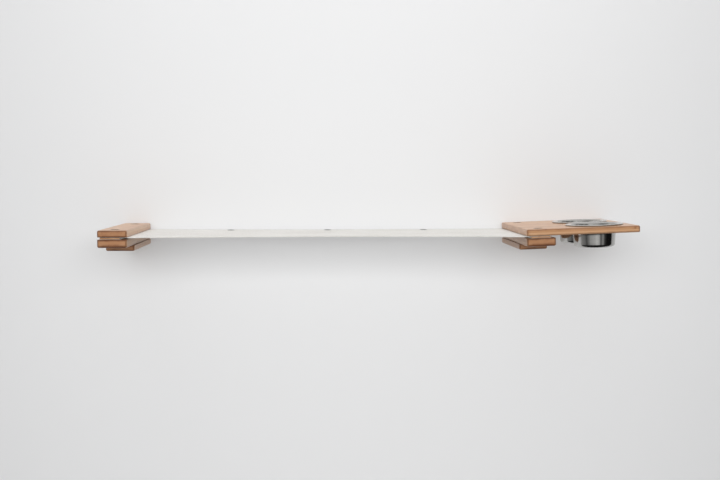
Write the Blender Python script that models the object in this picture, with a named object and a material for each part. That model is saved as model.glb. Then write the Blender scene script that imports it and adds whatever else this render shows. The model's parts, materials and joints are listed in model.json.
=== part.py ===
"""Wall-mounted cat feeder: a canvas shelf clamped between two bamboo brackets, with a feeder board.

Metres, +Z up, +X to the right along the wall, and the wall is the plane Y = 0. The object stands
in front of it, towards -Y. The origin is the middle of the left bracket's steel wall plate.
Each bracket is modelled in its own frame, with its wall plate's middle at 0, 0, 0. The frame of
the right bracket hangs on an empty that is turned a little about Y, as the photographed one hangs.
"""

import math

import bmesh
import bpy
from mathutils import Matrix, Vector

# Clearance between pieces that touch, and the wall gap of a pin in its bore
FIT = 0.0003

# How far a cutter reaches past the face that it opens
OVERCUT = 0.002

# Points closer than this are at the same place
SAME_PLACE = 1e-6

# Brackets: their spacing is two 16 inch stud bays, centre to centre
BRACKET_SPACING = 0.8128
BRACKET_WIDTH = 0.056
DEPTH = 0.2794
FEEDER_TILT = math.radians(2.05)

# Bamboo plates, from the top down
CLAMP_THICKNESS = 0.013
SUPPORT_THICKNESS = 0.0155
BASE_THICKNESS = 0.0115
BASE_SETBACK = 0.079
PLAN_CORNER = 0.005
ROUNDOVER = 0.003
EASED_EDGE = 0.0006

# Feeder board: the right bracket's clamp plate, carried on past it to hold the bowls
BOARD_OVERHANG = 0.163
BOARD_LOWER_ROUNDOVER = 0.002
CUTOUT_PLAY = 0.002
CUTOUT_CHAMFER = 0.0012
BOWL_FRONT_MARGIN = 0.010
BOWL_END_MARGIN = 0.0164
BOWL_GAP = 0.006

# Canvas shelf and the battens in its hems
CANVAS_THICKNESS = 0.0006
CANVAS_EDGE_BOW = 0.0215
HEM_FRONT_INSET = 0.003
HEM_BACK_INSET = 0.001
HEM_TAPER = 0.007
LEFT_HEM_INSET = 0.005
RIGHT_HEM_INSET = 0.010
HEM_MARGIN = 0.0008
BATTEN_THICKNESS = 0.002
BATTEN_END_INSET = 0.0008
CANVAS_STATIONS = 24

# Eyelets in a row along the back of the canvas
EYELET_COUNT = 3
EYELET_PITCH = 0.2032
EYELET_TO_WALL = 0.047
EYELET_HOLE_RADIUS = 0.0036
EYELET_BARREL_WALL = 0.0005
EYELET_FLANGE_RADIUS = 0.0075
EYELET_FLANGE_THICKNESS = 0.0009

# Clamp bolts: socket head cap screws with a washer at each end and a nut
BOLT_TO_FRONT = 0.032
BOLT_TO_WALL = 0.036
BOLT_RADIUS = 0.003
HEAD_RADIUS = 0.005
HEAD_HEIGHT = 0.006
HEX_KEY_WIDTH = 0.005
HEX_KEY_DEPTH = 0.003
HEAD_BELOW_TOP = 0.0004
BOLT_CHAMFER = 0.0004
WASHER_RADIUS = 0.006
WASHER_PLAY = 0.00075
WASHER_THICKNESS = 0.0016
NUT_WIDTH = 0.010
NUT_HEIGHT = 0.005
NUT_BELOW_FACE = 0.0005

# Steel wall support: a plate on the stud with two rods that the bracket slides on
WALL_PLATE_WIDTH = 0.046
WALL_PLATE_HEIGHT = 0.022
WALL_PLATE_THICKNESS = 0.003
WALL_PLATE_CORNER = 0.003
WALL_SCREW_RADIUS = 0.0026
WALL_SCREW_HEAD_RADIUS = 0.0048
WALL_SCREW_MARGIN = 0.0007
ROD_RADIUS = 0.004
ROD_LENGTH = 0.100
ROD_PITCH = 0.032
ROD_TIP_CLEARANCE = 0.0005
ROD_TIP_CHAMFER = 0.0008

# Wood screws that hold each base plate, and grub screws that lock the bracket on its rods
BASE_SCREW_RADIUS = 0.002
BASE_SCREW_HEAD_RADIUS = 0.004
BASE_SCREW_LENGTH = 0.020
BASE_SCREW_SIDE_PITCH = 0.036
BASE_SCREW_FRONT_MARGIN = 0.016
BASE_SCREW_TO_ROD = 0.0215
BASE_SCREW_SLOT_WIDTH = 0.0012
BASE_SCREW_SLOT_DEPTH = 0.0012
GRUB_RADIUS = 0.0025
GRUB_KEY_WIDTH = 0.0025
GRUB_KEY_DEPTH = 0.002
GRUB_RECESS = 0.001
GRUB_TO_WALL = 0.060

# Bowls: pressed steel, hung by a rolled rim
BOWL_RIM_RADIUS = 0.056
BOWL_BEAD_RADIUS = 0.0013
BOWL_WALL_TOP_RADIUS = 0.0418
BOWL_SHOULDER = 0.0037
BOWL_DRAFT = 0.0022
BOWL_HEIGHT = 0.0459
BOWL_BASE_CORNER = 0.007
BOWL_NECK_DROP = 0.007
BOWL_NECK_CURVE = 0.0025
BOWL_SHEET = 0.0008
BOWL_BASE_PUNT = 0.001
BOWL_PUNT_RADIUS = 0.016
BOWL_FOOT_RADIUS = 0.024

# Facets round a circle, and across a rounded edge
FINE_SIDES = 32
ROUND_SIDES = 16
SMALL_SIDES = 12
EDGE_STEPS = 3

# Heights in a bracket's frame, which has the wall plate's middle at 0
HEM_THICKNESS = 2 * CANVAS_THICKNESS + BATTEN_THICKNESS + 2 * FIT
HEM_GAP = HEM_THICKNESS + 2 * FIT
SUPPORT_TOP = (SUPPORT_THICKNESS + BASE_THICKNESS) / 2
SUPPORT_BOTTOM = SUPPORT_TOP - SUPPORT_THICKNESS
BASE_TOP = SUPPORT_BOTTOM - FIT
BASE_BOTTOM = BASE_TOP - BASE_THICKNESS
HEM_LEVEL = SUPPORT_TOP + HEM_GAP / 2
CANVAS_LEVEL = HEM_LEVEL + (HEM_THICKNESS - CANVAS_THICKNESS) / 2
CLAMP_BOTTOM = SUPPORT_TOP + HEM_GAP
CLAMP_TOP = CLAMP_BOTTOM + CLAMP_THICKNESS
ROD_LEVEL = (SUPPORT_TOP + SUPPORT_BOTTOM) / 2

# Counterbores and nut pockets take a washer, and the wall screws keep inside the wall plate
COUNTERBORE_RADIUS = WASHER_RADIUS + WASHER_PLAY
WALL_SCREW_PITCH = WALL_PLATE_HEIGHT - 2 * (WALL_SCREW_HEAD_RADIUS + WALL_SCREW_MARGIN)

# Depths, measured from the wall towards the room as negative Y
FRONT = -DEPTH
BASE_FRONT = FRONT + BASE_SETBACK
FRONT_BOLT_Y = FRONT + BOLT_TO_FRONT
REAR_BOLT_Y = -BOLT_TO_WALL
ROD_TIP = -WALL_PLATE_THICKNESS - ROD_LENGTH
SIDE = BRACKET_WIDTH / 2

# The battens are alike, and as wide as the narrower of the two hems allows
HEM_WALL = CANVAS_THICKNESS + FIT
WIDER_INSET = max(LEFT_HEM_INSET, RIGHT_HEM_INSET)
BATTEN_WIDTH = BRACKET_WIDTH - WIDER_INSET - 2 * HEM_WALL - HEM_TAPER - HEM_MARGIN

# Bowls one behind the other near the board's front and free end, in the right bracket's frame
BOWL_X = SIDE + BOARD_OVERHANG - BOWL_END_MARGIN - BOWL_RIM_RADIUS
FRONT_BOWL_Y = FRONT + BOWL_FRONT_MARGIN + BOWL_RIM_RADIUS
REAR_BOWL_Y = FRONT_BOWL_Y + 2 * BOWL_RIM_RADIUS + BOWL_GAP
BOWL_NECK_RADIUS = BOWL_WALL_TOP_RADIUS + BOWL_SHOULDER
BOWL_WALL_LOW_RADIUS = BOWL_WALL_TOP_RADIUS - BOWL_DRAFT
CUTOUT_RADIUS = BOWL_NECK_RADIUS + CUTOUT_PLAY


def srgb(red, green, blue):
    """Returns a colour given in 0 to 255 display values as the linear values a shader takes."""
    def linear(value):
        share = value / 255
        return share / 12.92 if share <= 0.04045 else ((share + 0.055) / 1.055) ** 2.4
    return (linear(red), linear(green), linear(blue), 1.0)


# Colour, roughness and metallic value of each material
FINISHES = {
    "bamboo": (srgb(186, 138, 98), 0.55, 0.0),
    "canvas": (srgb(226, 224, 215), 0.9, 0.0),
    "polished_steel": (srgb(200, 200, 198), 0.18, 1.0),
    "zinc_steel": (srgb(170, 170, 168), 0.35, 1.0),
    "dark_steel": (srgb(70, 70, 72), 0.45, 1.0),
    "eyelet_metal": (srgb(130, 130, 126), 0.35, 1.0),
}


def material_for(name, finish):
    """Makes the part's own Principled material in one of the finishes."""
    colour, roughness, metallic = FINISHES[finish]
    material = bpy.data.materials.new(name + "_" + finish)
    material.use_nodes = True
    shader = material.node_tree.nodes["Principled BSDF"]
    shader.inputs["Base Color"].default_value = colour
    shader.inputs["Roughness"].default_value = roughness
    shader.inputs["Metallic"].default_value = metallic
    material.diffuse_color = colour
    return material


def add_object(name, mesh_builder, finish=None, parent=None, at=(0.0, 0.0, 0.0)):
    """Turns a bmesh into a named object with its material, under a parent frame."""
    mesh = bpy.data.meshes.new(name)
    mesh_builder.to_mesh(mesh)
    mesh_builder.free()
    mesh.shade_smooth()
    mesh.set_sharp_from_angle(angle=math.radians(35))
    item = bpy.data.objects.new(name, mesh)
    item.location = at
    item.parent = parent
    if finish:
        mesh.materials.append(material_for(name, finish))
    bpy.context.scene.collection.objects.link(item)
    return item


def cut(item, name, mesh_builder, at=(0.0, 0.0, 0.0)):
    """Takes a shape out of an object with an exact Boolean and a hidden cutter in its frame."""
    cutter = add_object(item.name + "_" + name, mesh_builder, parent=item.parent, at=at)
    cutter.hide_render = True
    cutter.display_type = "WIRE"
    step = item.modifiers.new(name, "BOOLEAN")
    step.operation = "DIFFERENCE"
    step.solver = "EXACT"
    step.object = cutter


def block(x_range, y_range, z_range):
    """Returns a bmesh box between the given limits."""
    box = bmesh.new()
    bmesh.ops.create_cube(box, size=1.0)
    low = Vector((x_range[0], y_range[0], z_range[0]))
    high = Vector((x_range[1], y_range[1], z_range[1]))
    bmesh.ops.scale(box, vec=high - low, verts=box.verts)
    bmesh.ops.translate(box, vec=(high + low) / 2, verts=box.verts)
    return box


def bevel_edges(shape, edges, width, segments):
    """Rounds the given edges of a bmesh."""
    bmesh.ops.bevel(shape, geom=edges, offset=width, offset_type="OFFSET", segments=segments,
                    profile=0.5, affect="EDGES", clamp_overlap=True, material=-1)


def edges_at_height(shape, height):
    """Returns the edges that lie wholly at one height."""
    return [edge for edge in shape.edges
            if all(abs(vert.co.z - height) < SAME_PLACE for vert in edge.verts)]


def plate(x_range, y_range, z_range, top_round, bottom_round):
    """Returns a bmesh plate with rounded plan corners and rounded-over upper and lower edges."""
    shape = block(x_range, y_range, z_range)
    upright = [edge for edge in shape.edges
               if abs(edge.verts[0].co.z - edge.verts[1].co.z) > SAME_PLACE]
    bevel_edges(shape, upright, PLAN_CORNER, EDGE_STEPS)
    for height, width in ((z_range[1], top_round), (z_range[0], bottom_round)):
        steps = 1 if width <= EASED_EDGE else EDGE_STEPS
        bevel_edges(shape, edges_at_height(shape, height), width, steps)
    return shape


def upright_cylinder(radius, z_range, sides=ROUND_SIDES):
    """Returns a bmesh cylinder on the Z axis between two heights."""
    shape = bmesh.new()
    bmesh.ops.create_cone(shape, cap_ends=True, segments=sides, radius1=radius, radius2=radius,
                          depth=z_range[1] - z_range[0],
                          matrix=Matrix.Translation((0, 0, sum(z_range) / 2)))
    return shape


def hexagon(width, z_range):
    """Returns a bmesh hexagonal prism on the Z axis, with its width measured across the flats."""
    return upright_cylinder(width / math.sqrt(3), z_range, sides=6)


def lying_cylinder(radius, y_range, sides=ROUND_SIDES):
    """Returns a bmesh cylinder along Y between two depths."""
    shape = upright_cylinder(radius, (0.0, y_range[1] - y_range[0]), sides)
    bmesh.ops.rotate(shape, cent=(0, 0, 0), matrix=Matrix.Rotation(math.radians(-90), 3, "X"),
                     verts=shape.verts)
    bmesh.ops.translate(shape, vec=(0, y_range[0], 0), verts=shape.verts)
    return shape


def turned(profile, sides):
    """Returns a closed bmesh turned about Z from an outline of (radius, height) points.

    An outline that starts and ends on the axis is left open there, and any other is a closed ring.
    """
    shape = bmesh.new()
    points = [shape.verts.new((radius, 0.0, height)) for radius, height in profile]
    pairs = list(zip(points, points[1:]))
    if profile[0][0] > 0.0:
        pairs.append((points[-1], points[0]))
    edges = [shape.edges.new(pair) for pair in pairs]
    bmesh.ops.spin(shape, geom=points + edges, cent=(0, 0, 0), axis=(0, 0, 1),
                   angle=math.tau, steps=sides, use_merge=True)
    bmesh.ops.remove_doubles(shape, verts=shape.verts, dist=SAME_PLACE)
    bmesh.ops.recalc_face_normals(shape, faces=shape.faces)
    return shape


def arc(centre, radius, start, end, steps):
    """Returns points of an arc of (radius, height) pairs, with its angles in degrees."""
    angles = [math.radians(start + (end - start) * i / steps) for i in range(steps + 1)]
    return [(centre[0] + radius * math.cos(a), centre[1] + radius * math.sin(a)) for a in angles]


def feeder_turn():
    """Returns the right bracket's turn about Y, which raises its right side."""
    return Matrix.Rotation(-FEEDER_TILT, 3, "Y")


def feeder_origin():
    """Returns the right bracket's origin, for a bracket turned about the inner edge of its hem."""
    pivot = Vector((-SIDE, 0.0, HEM_LEVEL))
    return Vector((BRACKET_SPACING, 0.0, 0.0)) + pivot - feeder_turn() @ pivot


def add_frame(name, at, turn):
    """Adds the empty that carries one bracket."""
    frame = bpy.data.objects.new(name, None)
    frame.location = at
    frame.rotation_euler = turn.to_euler()
    bpy.context.scene.collection.objects.link(frame)
    return frame


# Bracket pieces

def bolt_places():
    """Returns each clamp bolt's name, its depth and the underside that its nut is sunk in."""
    return (("front", FRONT_BOLT_Y, SUPPORT_BOTTOM), ("rear", REAR_BOLT_Y, BASE_BOTTOM))


def counterbore_floor():
    """Returns the height of the floor that the upper washer lies on."""
    return CLAMP_TOP - HEAD_BELOW_TOP - HEAD_HEIGHT - WASHER_THICKNESS - 2 * FIT


def nut_pocket_ceiling(underside):
    """Returns the height of the ceiling of the pocket that takes the lower washer and the nut."""
    return underside + NUT_BELOW_FACE + NUT_HEIGHT + WASHER_THICKNESS + 2 * FIT


def cut_bolt_holes(item, z_range):
    """Drills the two clamp bolt holes right through a piece."""
    for name, depth, _ in bolt_places():
        hole = upright_cylinder(BOLT_RADIUS + FIT, (z_range[0] - OVERCUT, z_range[1] + OVERCUT),
                                SMALL_SIDES)
        cut(item, name + "_bolt_hole", hole, at=(0.0, depth, 0.0))


def cut_counterbores(item):
    """Sinks the two bolt heads into the clamped piece's top."""
    for name, depth, _ in bolt_places():
        bore = upright_cylinder(COUNTERBORE_RADIUS, (counterbore_floor(), CLAMP_TOP + OVERCUT))
        cut(item, name + "_counterbore", bore, at=(0.0, depth, 0.0))


def add_clamp_plate(side, frame):
    """Adds the upper plate of the left bracket, which presses the hem down."""
    shape = plate((-SIDE, SIDE), (FRONT, 0.0), (CLAMP_BOTTOM, CLAMP_TOP), ROUNDOVER, EASED_EDGE)
    item = add_object(side + "_clamp_plate", shape, "bamboo", frame)
    cut_bolt_holes(item, (CLAMP_BOTTOM, CLAMP_TOP))
    cut_counterbores(item)


def add_feeder_board(frame):
    """Adds the board that clamps the right hem and carries on to hold the two bowls."""
    shape = plate((-SIDE, SIDE + BOARD_OVERHANG), (FRONT, 0.0), (CLAMP_BOTTOM, CLAMP_TOP),
                  ROUNDOVER, BOARD_LOWER_ROUNDOVER)
    item = add_object("feeder_board", shape, "bamboo", frame)
    cut_bolt_holes(item, (CLAMP_BOTTOM, CLAMP_TOP))
    cut_counterbores(item)
    for name, depth in (("front", FRONT_BOWL_Y), ("rear", REAR_BOWL_Y)):
        wide = CUTOUT_RADIUS + CUTOUT_CHAMFER
        profile = [(0.0, CLAMP_BOTTOM - CUTOUT_CHAMFER), (wide + CUTOUT_CHAMFER,
                                                          CLAMP_BOTTOM - CUTOUT_CHAMFER),
                   (CUTOUT_RADIUS, CLAMP_BOTTOM + CUTOUT_CHAMFER),
                   (CUTOUT_RADIUS, CLAMP_TOP - CUTOUT_CHAMFER),
                   (wide + CUTOUT_CHAMFER, CLAMP_TOP + CUTOUT_CHAMFER),
                   (0.0, CLAMP_TOP + CUTOUT_CHAMFER)]
        cut(item, name + "_cutout", turned(profile, FINE_SIDES), at=(BOWL_X, depth, 0.0))


def rod_places():
    """Returns the sideways places of the two rods."""
    return (-ROD_PITCH / 2, ROD_PITCH / 2)


def cut_wall_recess(item):
    """Lets the steel wall plate into the back end of a plate."""
    half_width = WALL_PLATE_WIDTH / 2 + FIT
    half_height = WALL_PLATE_HEIGHT / 2 + FIT
    recess = block((-half_width, half_width), (-WALL_PLATE_THICKNESS - FIT, OVERCUT),
                   (-half_height, half_height))
    upright = [edge for edge in recess.edges
               if abs(edge.verts[0].co.y - edge.verts[1].co.y) > SAME_PLACE]
    bevel_edges(recess, upright, WALL_PLATE_CORNER, EDGE_STEPS)
    cut(item, "wall_recess", recess)


def add_support_plate(side, frame):
    """Adds the plate under the hem, which the rods carry."""
    shape = plate((-SIDE, SIDE), (FRONT, 0.0), (SUPPORT_BOTTOM, SUPPORT_TOP), EASED_EDGE, ROUNDOVER)
    item = add_object(side + "_support_plate", shape, "bamboo", frame)
    cut_bolt_holes(item, (SUPPORT_BOTTOM, SUPPORT_TOP))
    pocket = upright_cylinder(COUNTERBORE_RADIUS,
                              (SUPPORT_BOTTOM - OVERCUT, nut_pocket_ceiling(SUPPORT_BOTTOM)))
    cut(item, "nut_pocket", pocket, at=(0.0, FRONT_BOLT_Y, 0.0))
    cut_wall_recess(item)
    for number, x in enumerate(rod_places()):
        bore = lying_cylinder(ROD_RADIUS + FIT, (ROD_TIP - ROD_TIP_CLEARANCE, OVERCUT))
        cut(item, f"rod_bore_{number}", bore, at=(x, 0.0, ROD_LEVEL))
        hole = upright_cylinder(GRUB_RADIUS + FIT, (SUPPORT_BOTTOM - OVERCUT, ROD_LEVEL), SMALL_SIDES)
        cut(item, f"grub_hole_{number}", hole, at=(x, -GRUB_TO_WALL, 0.0))
    for number, (x, y) in enumerate(base_screw_places()):
        tip = BASE_BOTTOM + BASE_SCREW_LENGTH + FIT
        hole = upright_cylinder(BASE_SCREW_RADIUS + FIT, (SUPPORT_BOTTOM - OVERCUT, tip), SMALL_SIDES)
        cut(item, f"screw_hole_{number}", hole, at=(x, y, 0.0))


def base_screw_places():
    """Returns where the four wood screws of a base plate stand."""
    front_row = BASE_FRONT + BASE_SCREW_FRONT_MARGIN
    rear_row = ROD_TIP - BASE_SCREW_TO_ROD
    half = BASE_SCREW_SIDE_PITCH / 2
    return [(x, y) for y in (front_row, rear_row) for x in (-half, half)]


def screw_head_depth(radius, head_radius):
    """Returns the depth of a 90 degree countersunk head."""
    return head_radius - radius


def add_base_plate(side, frame):
    """Adds the lowest plate, which starts behind the front and runs to the wall."""
    shape = plate((-SIDE, SIDE), (BASE_FRONT, 0.0), (BASE_BOTTOM, BASE_TOP), EASED_EDGE, ROUNDOVER)
    item = add_object(side + "_base_plate", shape, "bamboo", frame)
    hole = upright_cylinder(BOLT_RADIUS + FIT, (BASE_BOTTOM - OVERCUT, BASE_TOP + OVERCUT), SMALL_SIDES)
    cut(item, "bolt_hole", hole, at=(0.0, REAR_BOLT_Y, 0.0))
    pocket = upright_cylinder(COUNTERBORE_RADIUS, (BASE_BOTTOM - OVERCUT, nut_pocket_ceiling(BASE_BOTTOM)))
    cut(item, "nut_pocket", pocket, at=(0.0, REAR_BOLT_Y, 0.0))
    cut_wall_recess(item)
    for number, x in enumerate(rod_places()):
        hole = upright_cylinder(GRUB_RADIUS + FIT, (BASE_BOTTOM - OVERCUT, BASE_TOP + OVERCUT),
                                SMALL_SIDES)
        cut(item, f"grub_hole_{number}", hole, at=(x, -GRUB_TO_WALL, 0.0))
    head = screw_head_depth(BASE_SCREW_RADIUS, BASE_SCREW_HEAD_RADIUS)
    for number, (x, y) in enumerate(base_screw_places()):
        profile = [(0.0, BASE_BOTTOM - OVERCUT), (BASE_SCREW_HEAD_RADIUS + FIT + OVERCUT,
                                                BASE_BOTTOM - OVERCUT),
                   (BASE_SCREW_HEAD_RADIUS + FIT, BASE_BOTTOM),
                   (BASE_SCREW_RADIUS + FIT, BASE_BOTTOM + head),
                   (BASE_SCREW_RADIUS + FIT, BASE_TOP + OVERCUT), (0.0, BASE_TOP + OVERCUT)]
        cut(item, f"screw_hole_{number}", turned(profile, SMALL_SIDES), at=(x, y, 0.0))


def add_wall_support(side, frame):
    """Adds the steel plate with its two welded rods."""
    half_width = WALL_PLATE_WIDTH / 2
    half_height = WALL_PLATE_HEIGHT / 2
    shape = block((-half_width, half_width), (-WALL_PLATE_THICKNESS, 0.0), (-half_height, half_height))
    corners = [edge for edge in shape.edges
               if abs(edge.verts[0].co.y - edge.verts[1].co.y) > SAME_PLACE]
    bevel_edges(shape, corners, WALL_PLATE_CORNER, EDGE_STEPS)
    item = add_object(side + "_wall_support", shape, "dark_steel", frame)
    for number, x in enumerate(rod_places()):
        root = -WALL_PLATE_THICKNESS / 2
        shape = lying_cylinder(ROD_RADIUS, (ROD_TIP, root))
        end = [edge for edge in shape.edges
               if all(abs(vert.co.y - ROD_TIP) < SAME_PLACE for vert in edge.verts)]
        bevel_edges(shape, end, ROD_TIP_CHAMFER, 1)
        rod = add_object(f"{side}_rod_{number}", shape, parent=frame, at=(x, 0.0, ROD_LEVEL))
        rod.hide_render = True
        rod.display_type = "WIRE"
        step = item.modifiers.new(f"rod_{number}", "BOOLEAN")
        step.operation = "UNION"
        step.solver = "EXACT"
        step.object = rod
    for number, z in enumerate((-WALL_SCREW_PITCH / 2, WALL_SCREW_PITCH / 2)):
        sink = screw_head_depth(WALL_SCREW_RADIUS, WALL_SCREW_HEAD_RADIUS)
        profile = [(0.0, -OVERCUT), (WALL_SCREW_RADIUS, -OVERCUT),
                   (WALL_SCREW_RADIUS, WALL_PLATE_THICKNESS - sink),
                   (WALL_SCREW_HEAD_RADIUS + OVERCUT, WALL_PLATE_THICKNESS + OVERCUT),
                   (0.0, WALL_PLATE_THICKNESS + OVERCUT)]
        hole = turned(profile, SMALL_SIDES)
        bmesh.ops.rotate(hole, cent=(0, 0, 0), matrix=Matrix.Rotation(math.radians(90), 3, "X"),
                         verts=hole.verts)
        cut(item, f"wall_screw_hole_{number}", hole, at=(0.0, 0.0, z))


def clamp_bolt(underside):
    """Returns a bmesh socket head cap screw that ends level with its nut."""
    top = CLAMP_TOP - HEAD_BELOW_TOP
    seat = top - HEAD_HEIGHT
    tip = underside + NUT_BELOW_FACE
    edge = BOLT_CHAMFER
    profile = [(0.0, tip), (BOLT_RADIUS - edge, tip), (BOLT_RADIUS, tip + edge),
               (BOLT_RADIUS, seat), (HEAD_RADIUS, seat), (HEAD_RADIUS, top - edge),
               (HEAD_RADIUS - edge, top), (0.0, top)]
    return turned(profile, ROUND_SIDES)


def add_bolts(side, frame):
    """Adds the two clamp bolts, their nuts and the washer at each end."""
    top = CLAMP_TOP - HEAD_BELOW_TOP
    for name, depth, underside in bolt_places():
        stem = f"{side}_{name}"
        place = (0.0, depth, 0.0)
        bolt = add_object(stem + "_bolt", clamp_bolt(underside), "zinc_steel", frame, place)
        cut(bolt, "hex_key", hexagon(HEX_KEY_WIDTH, (top - HEX_KEY_DEPTH, top + OVERCUT)), place)
        upper = counterbore_floor() + FIT
        lower = nut_pocket_ceiling(underside) - FIT - WASHER_THICKNESS
        add_object(stem + "_head_washer", washer(upper), "zinc_steel", frame, place)
        add_object(stem + "_nut_washer", washer(lower), "zinc_steel", frame, place)
        low = underside + NUT_BELOW_FACE
        high = low + NUT_HEIGHT
        nut = add_object(stem + "_nut", hexagon(NUT_WIDTH, (low, high)), "zinc_steel", frame, place)
        thread = upright_cylinder(BOLT_RADIUS + FIT, (low - OVERCUT, high + OVERCUT))
        cut(nut, "thread", thread, place)


def washer(bottom):
    """Returns a bmesh flat washer for a clamp bolt."""
    bore = BOLT_RADIUS + FIT
    top = bottom + WASHER_THICKNESS
    return turned([(bore, bottom), (WASHER_RADIUS, bottom), (WASHER_RADIUS, top), (bore, top)],
                  ROUND_SIDES)


def add_base_screws(side, frame):
    """Adds the four countersunk wood screws that hold the base plate up to the support plate."""
    head = screw_head_depth(BASE_SCREW_RADIUS, BASE_SCREW_HEAD_RADIUS)
    tip = BASE_BOTTOM + BASE_SCREW_LENGTH
    profile = [(0.0, BASE_BOTTOM), (BASE_SCREW_HEAD_RADIUS, BASE_BOTTOM),
               (BASE_SCREW_RADIUS, BASE_BOTTOM + head),
               (BASE_SCREW_RADIUS, tip - 2 * BASE_SCREW_RADIUS), (0.0, tip)]
    reach = BASE_SCREW_HEAD_RADIUS + OVERCUT
    half = BASE_SCREW_SLOT_WIDTH / 2
    for number, (x, y) in enumerate(base_screw_places(), start=1):
        place = (x, y, 0.0)
        screw = turned(profile, SMALL_SIDES)
        item = add_object(f"{side}_base_screw_{number}", screw, "zinc_steel", frame, place)
        slot = block((-reach, reach), (-half, half),
                     (BASE_BOTTOM - OVERCUT, BASE_BOTTOM + BASE_SCREW_SLOT_DEPTH))
        cut(item, "slot", slot, place)


def add_locking_screws(side, frame):
    """Adds the grub screws that lock the bracket on its rods from below."""
    tip = ROD_LEVEL - ROD_RADIUS - FIT
    bottom = BASE_BOTTOM + GRUB_RECESS
    for number, x in enumerate(rod_places(), start=1):
        place = (x, -GRUB_TO_WALL, 0.0)
        screw = upright_cylinder(GRUB_RADIUS, (bottom, tip), SMALL_SIDES)
        item = add_object(f"{side}_locking_screw_{number}", screw, "dark_steel", frame, place)
        cut(item, "key", hexagon(GRUB_KEY_WIDTH, (bottom - OVERCUT, bottom + GRUB_KEY_DEPTH)), place)


def batten_span(outward, hem_inset):
    """Returns the batten's two sideways limits, from its outer edge to its inner one.

    outward is -1 on the left bracket and 1 on the right one, away from the canvas.
    """
    outer = outward * (SIDE - hem_inset - HEM_WALL)
    return outer, outer - outward * BATTEN_WIDTH


def add_batten(side, frame, outward, hem_inset):
    """Adds the flat batten that fills the canvas hem."""
    outer, inner = batten_span(outward, hem_inset)
    half = BATTEN_THICKNESS / 2
    shape = block((min(outer, inner), max(outer, inner)),
                  (FRONT + BATTEN_END_INSET, -BATTEN_END_INSET),
                  (HEM_LEVEL - half, HEM_LEVEL + half))
    item = add_object(side + "_hem_batten", shape, "bamboo", frame)
    cut_bolt_holes(item, (HEM_LEVEL - half, HEM_LEVEL + half))


def add_bracket(side, frame, outward, hem_inset):
    """Adds all that a bracket has, apart from the piece that clamps the hem from above."""
    add_support_plate(side, frame)
    add_base_plate(side, frame)
    add_batten(side, frame, outward, hem_inset)
    add_wall_support(side, frame)
    add_bolts(side, frame)
    add_base_screws(side, frame)
    add_locking_screws(side, frame)


# Canvas

def on_left(x, level):
    """Returns the world place of a point at a level in the left bracket's frame."""
    return Vector((x, 0.0, level))


def on_right(x, level):
    """Returns the world place of a point at a level in the right bracket's frame."""
    return feeder_turn() @ Vector((x, 0.0, level)) + feeder_origin()


def canvas_ends():
    """Returns where the free canvas leaves the left and the right clamp."""
    return on_left(SIDE, CANVAS_LEVEL), on_right(-SIDE, CANVAS_LEVEL)


def hem_stations(place, outward, hem_inset):
    """Returns (centre, half thickness) along one hem, from its outer end inwards.

    The hem is thick round its batten, and only its upper layer carries on as the canvas.
    """
    outer = outward * (SIDE - hem_inset)
    inner = batten_span(outward, hem_inset)[1] - outward * HEM_WALL
    thick = HEM_THICKNESS / 2
    thin = CANVAS_THICKNESS / 2
    return [(place(outer, HEM_LEVEL), thick), (place(inner, HEM_LEVEL), thick),
            (place(inner - outward * HEM_TAPER, CANVAS_LEVEL), thin)]


def canvas_stations():
    """Returns every station of the canvas from left to right as (centre, half thickness)."""
    left = hem_stations(on_left, -1, LEFT_HEM_INSET)
    right = hem_stations(on_right, 1, RIGHT_HEM_INSET)
    start, end = canvas_ends()
    span = [(start.lerp(end, i / CANVAS_STATIONS), CANVAS_THICKNESS / 2)
            for i in range(CANVAS_STATIONS + 1)]
    return left + span + right[::-1]


def edge_bow(x):
    """Returns how far the canvas edges are drawn in at a place along the shelf."""
    start, end = canvas_ends()
    share = (2 * x - start.x - end.x) / (end.x - start.x)
    return CANVAS_EDGE_BOW * max(0.0, 1.0 - share * share)


def add_canvas():
    """Adds the stretched canvas with a hem pocket round each batten."""
    shape = bmesh.new()
    rings = []
    for centre, half in canvas_stations():
        bow = edge_bow(centre.x)
        front = FRONT + HEM_FRONT_INSET + bow
        back = -HEM_BACK_INSET - bow
        rings.append([shape.verts.new((centre.x, y, centre.z + z))
                      for y, z in ((front, -half), (back, -half), (back, half), (front, half))])
    for first, second in zip(rings, rings[1:]):
        for i in range(4):
            j = (i + 1) % 4
            shape.faces.new((first[i], first[j], second[j], second[i]))
    shape.faces.new(rings[0][::-1])
    shape.faces.new(rings[-1])
    bmesh.ops.recalc_face_normals(shape, faces=shape.faces)
    canvas = add_object("canvas_shelf", shape, "canvas")
    canvas.data.shade_flat()
    return canvas


def cut_canvas_pocket(canvas, side, frame, outward, hem_inset):
    """Opens the hem round its batten, and the bolt holes through it."""
    outer, inner = batten_span(outward, hem_inset)
    half = BATTEN_THICKNESS / 2 + FIT
    room = block((min(outer, inner) - FIT, max(outer, inner) + FIT), (FRONT - OVERCUT, OVERCUT),
                 (HEM_LEVEL - half, HEM_LEVEL + half))
    tools = [("pocket", room, 0.0)]
    for name, depth, _ in bolt_places():
        hole = upright_cylinder(BOLT_RADIUS + FIT, (SUPPORT_TOP - OVERCUT, CLAMP_BOTTOM + OVERCUT),
                                SMALL_SIDES)
        tools.append((name + "_bolt_hole", hole, depth))
    for name, shape, depth in tools:
        cutter = add_object(f"{side}_hem_{name}", shape, parent=frame, at=(0.0, depth, 0.0))
        cutter.hide_render = True
        cutter.display_type = "WIRE"
        step = canvas.modifiers.new(f"{side}_{name}", "BOOLEAN")
        step.operation = "DIFFERENCE"
        step.solver = "EXACT"
        step.object = cutter


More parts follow.
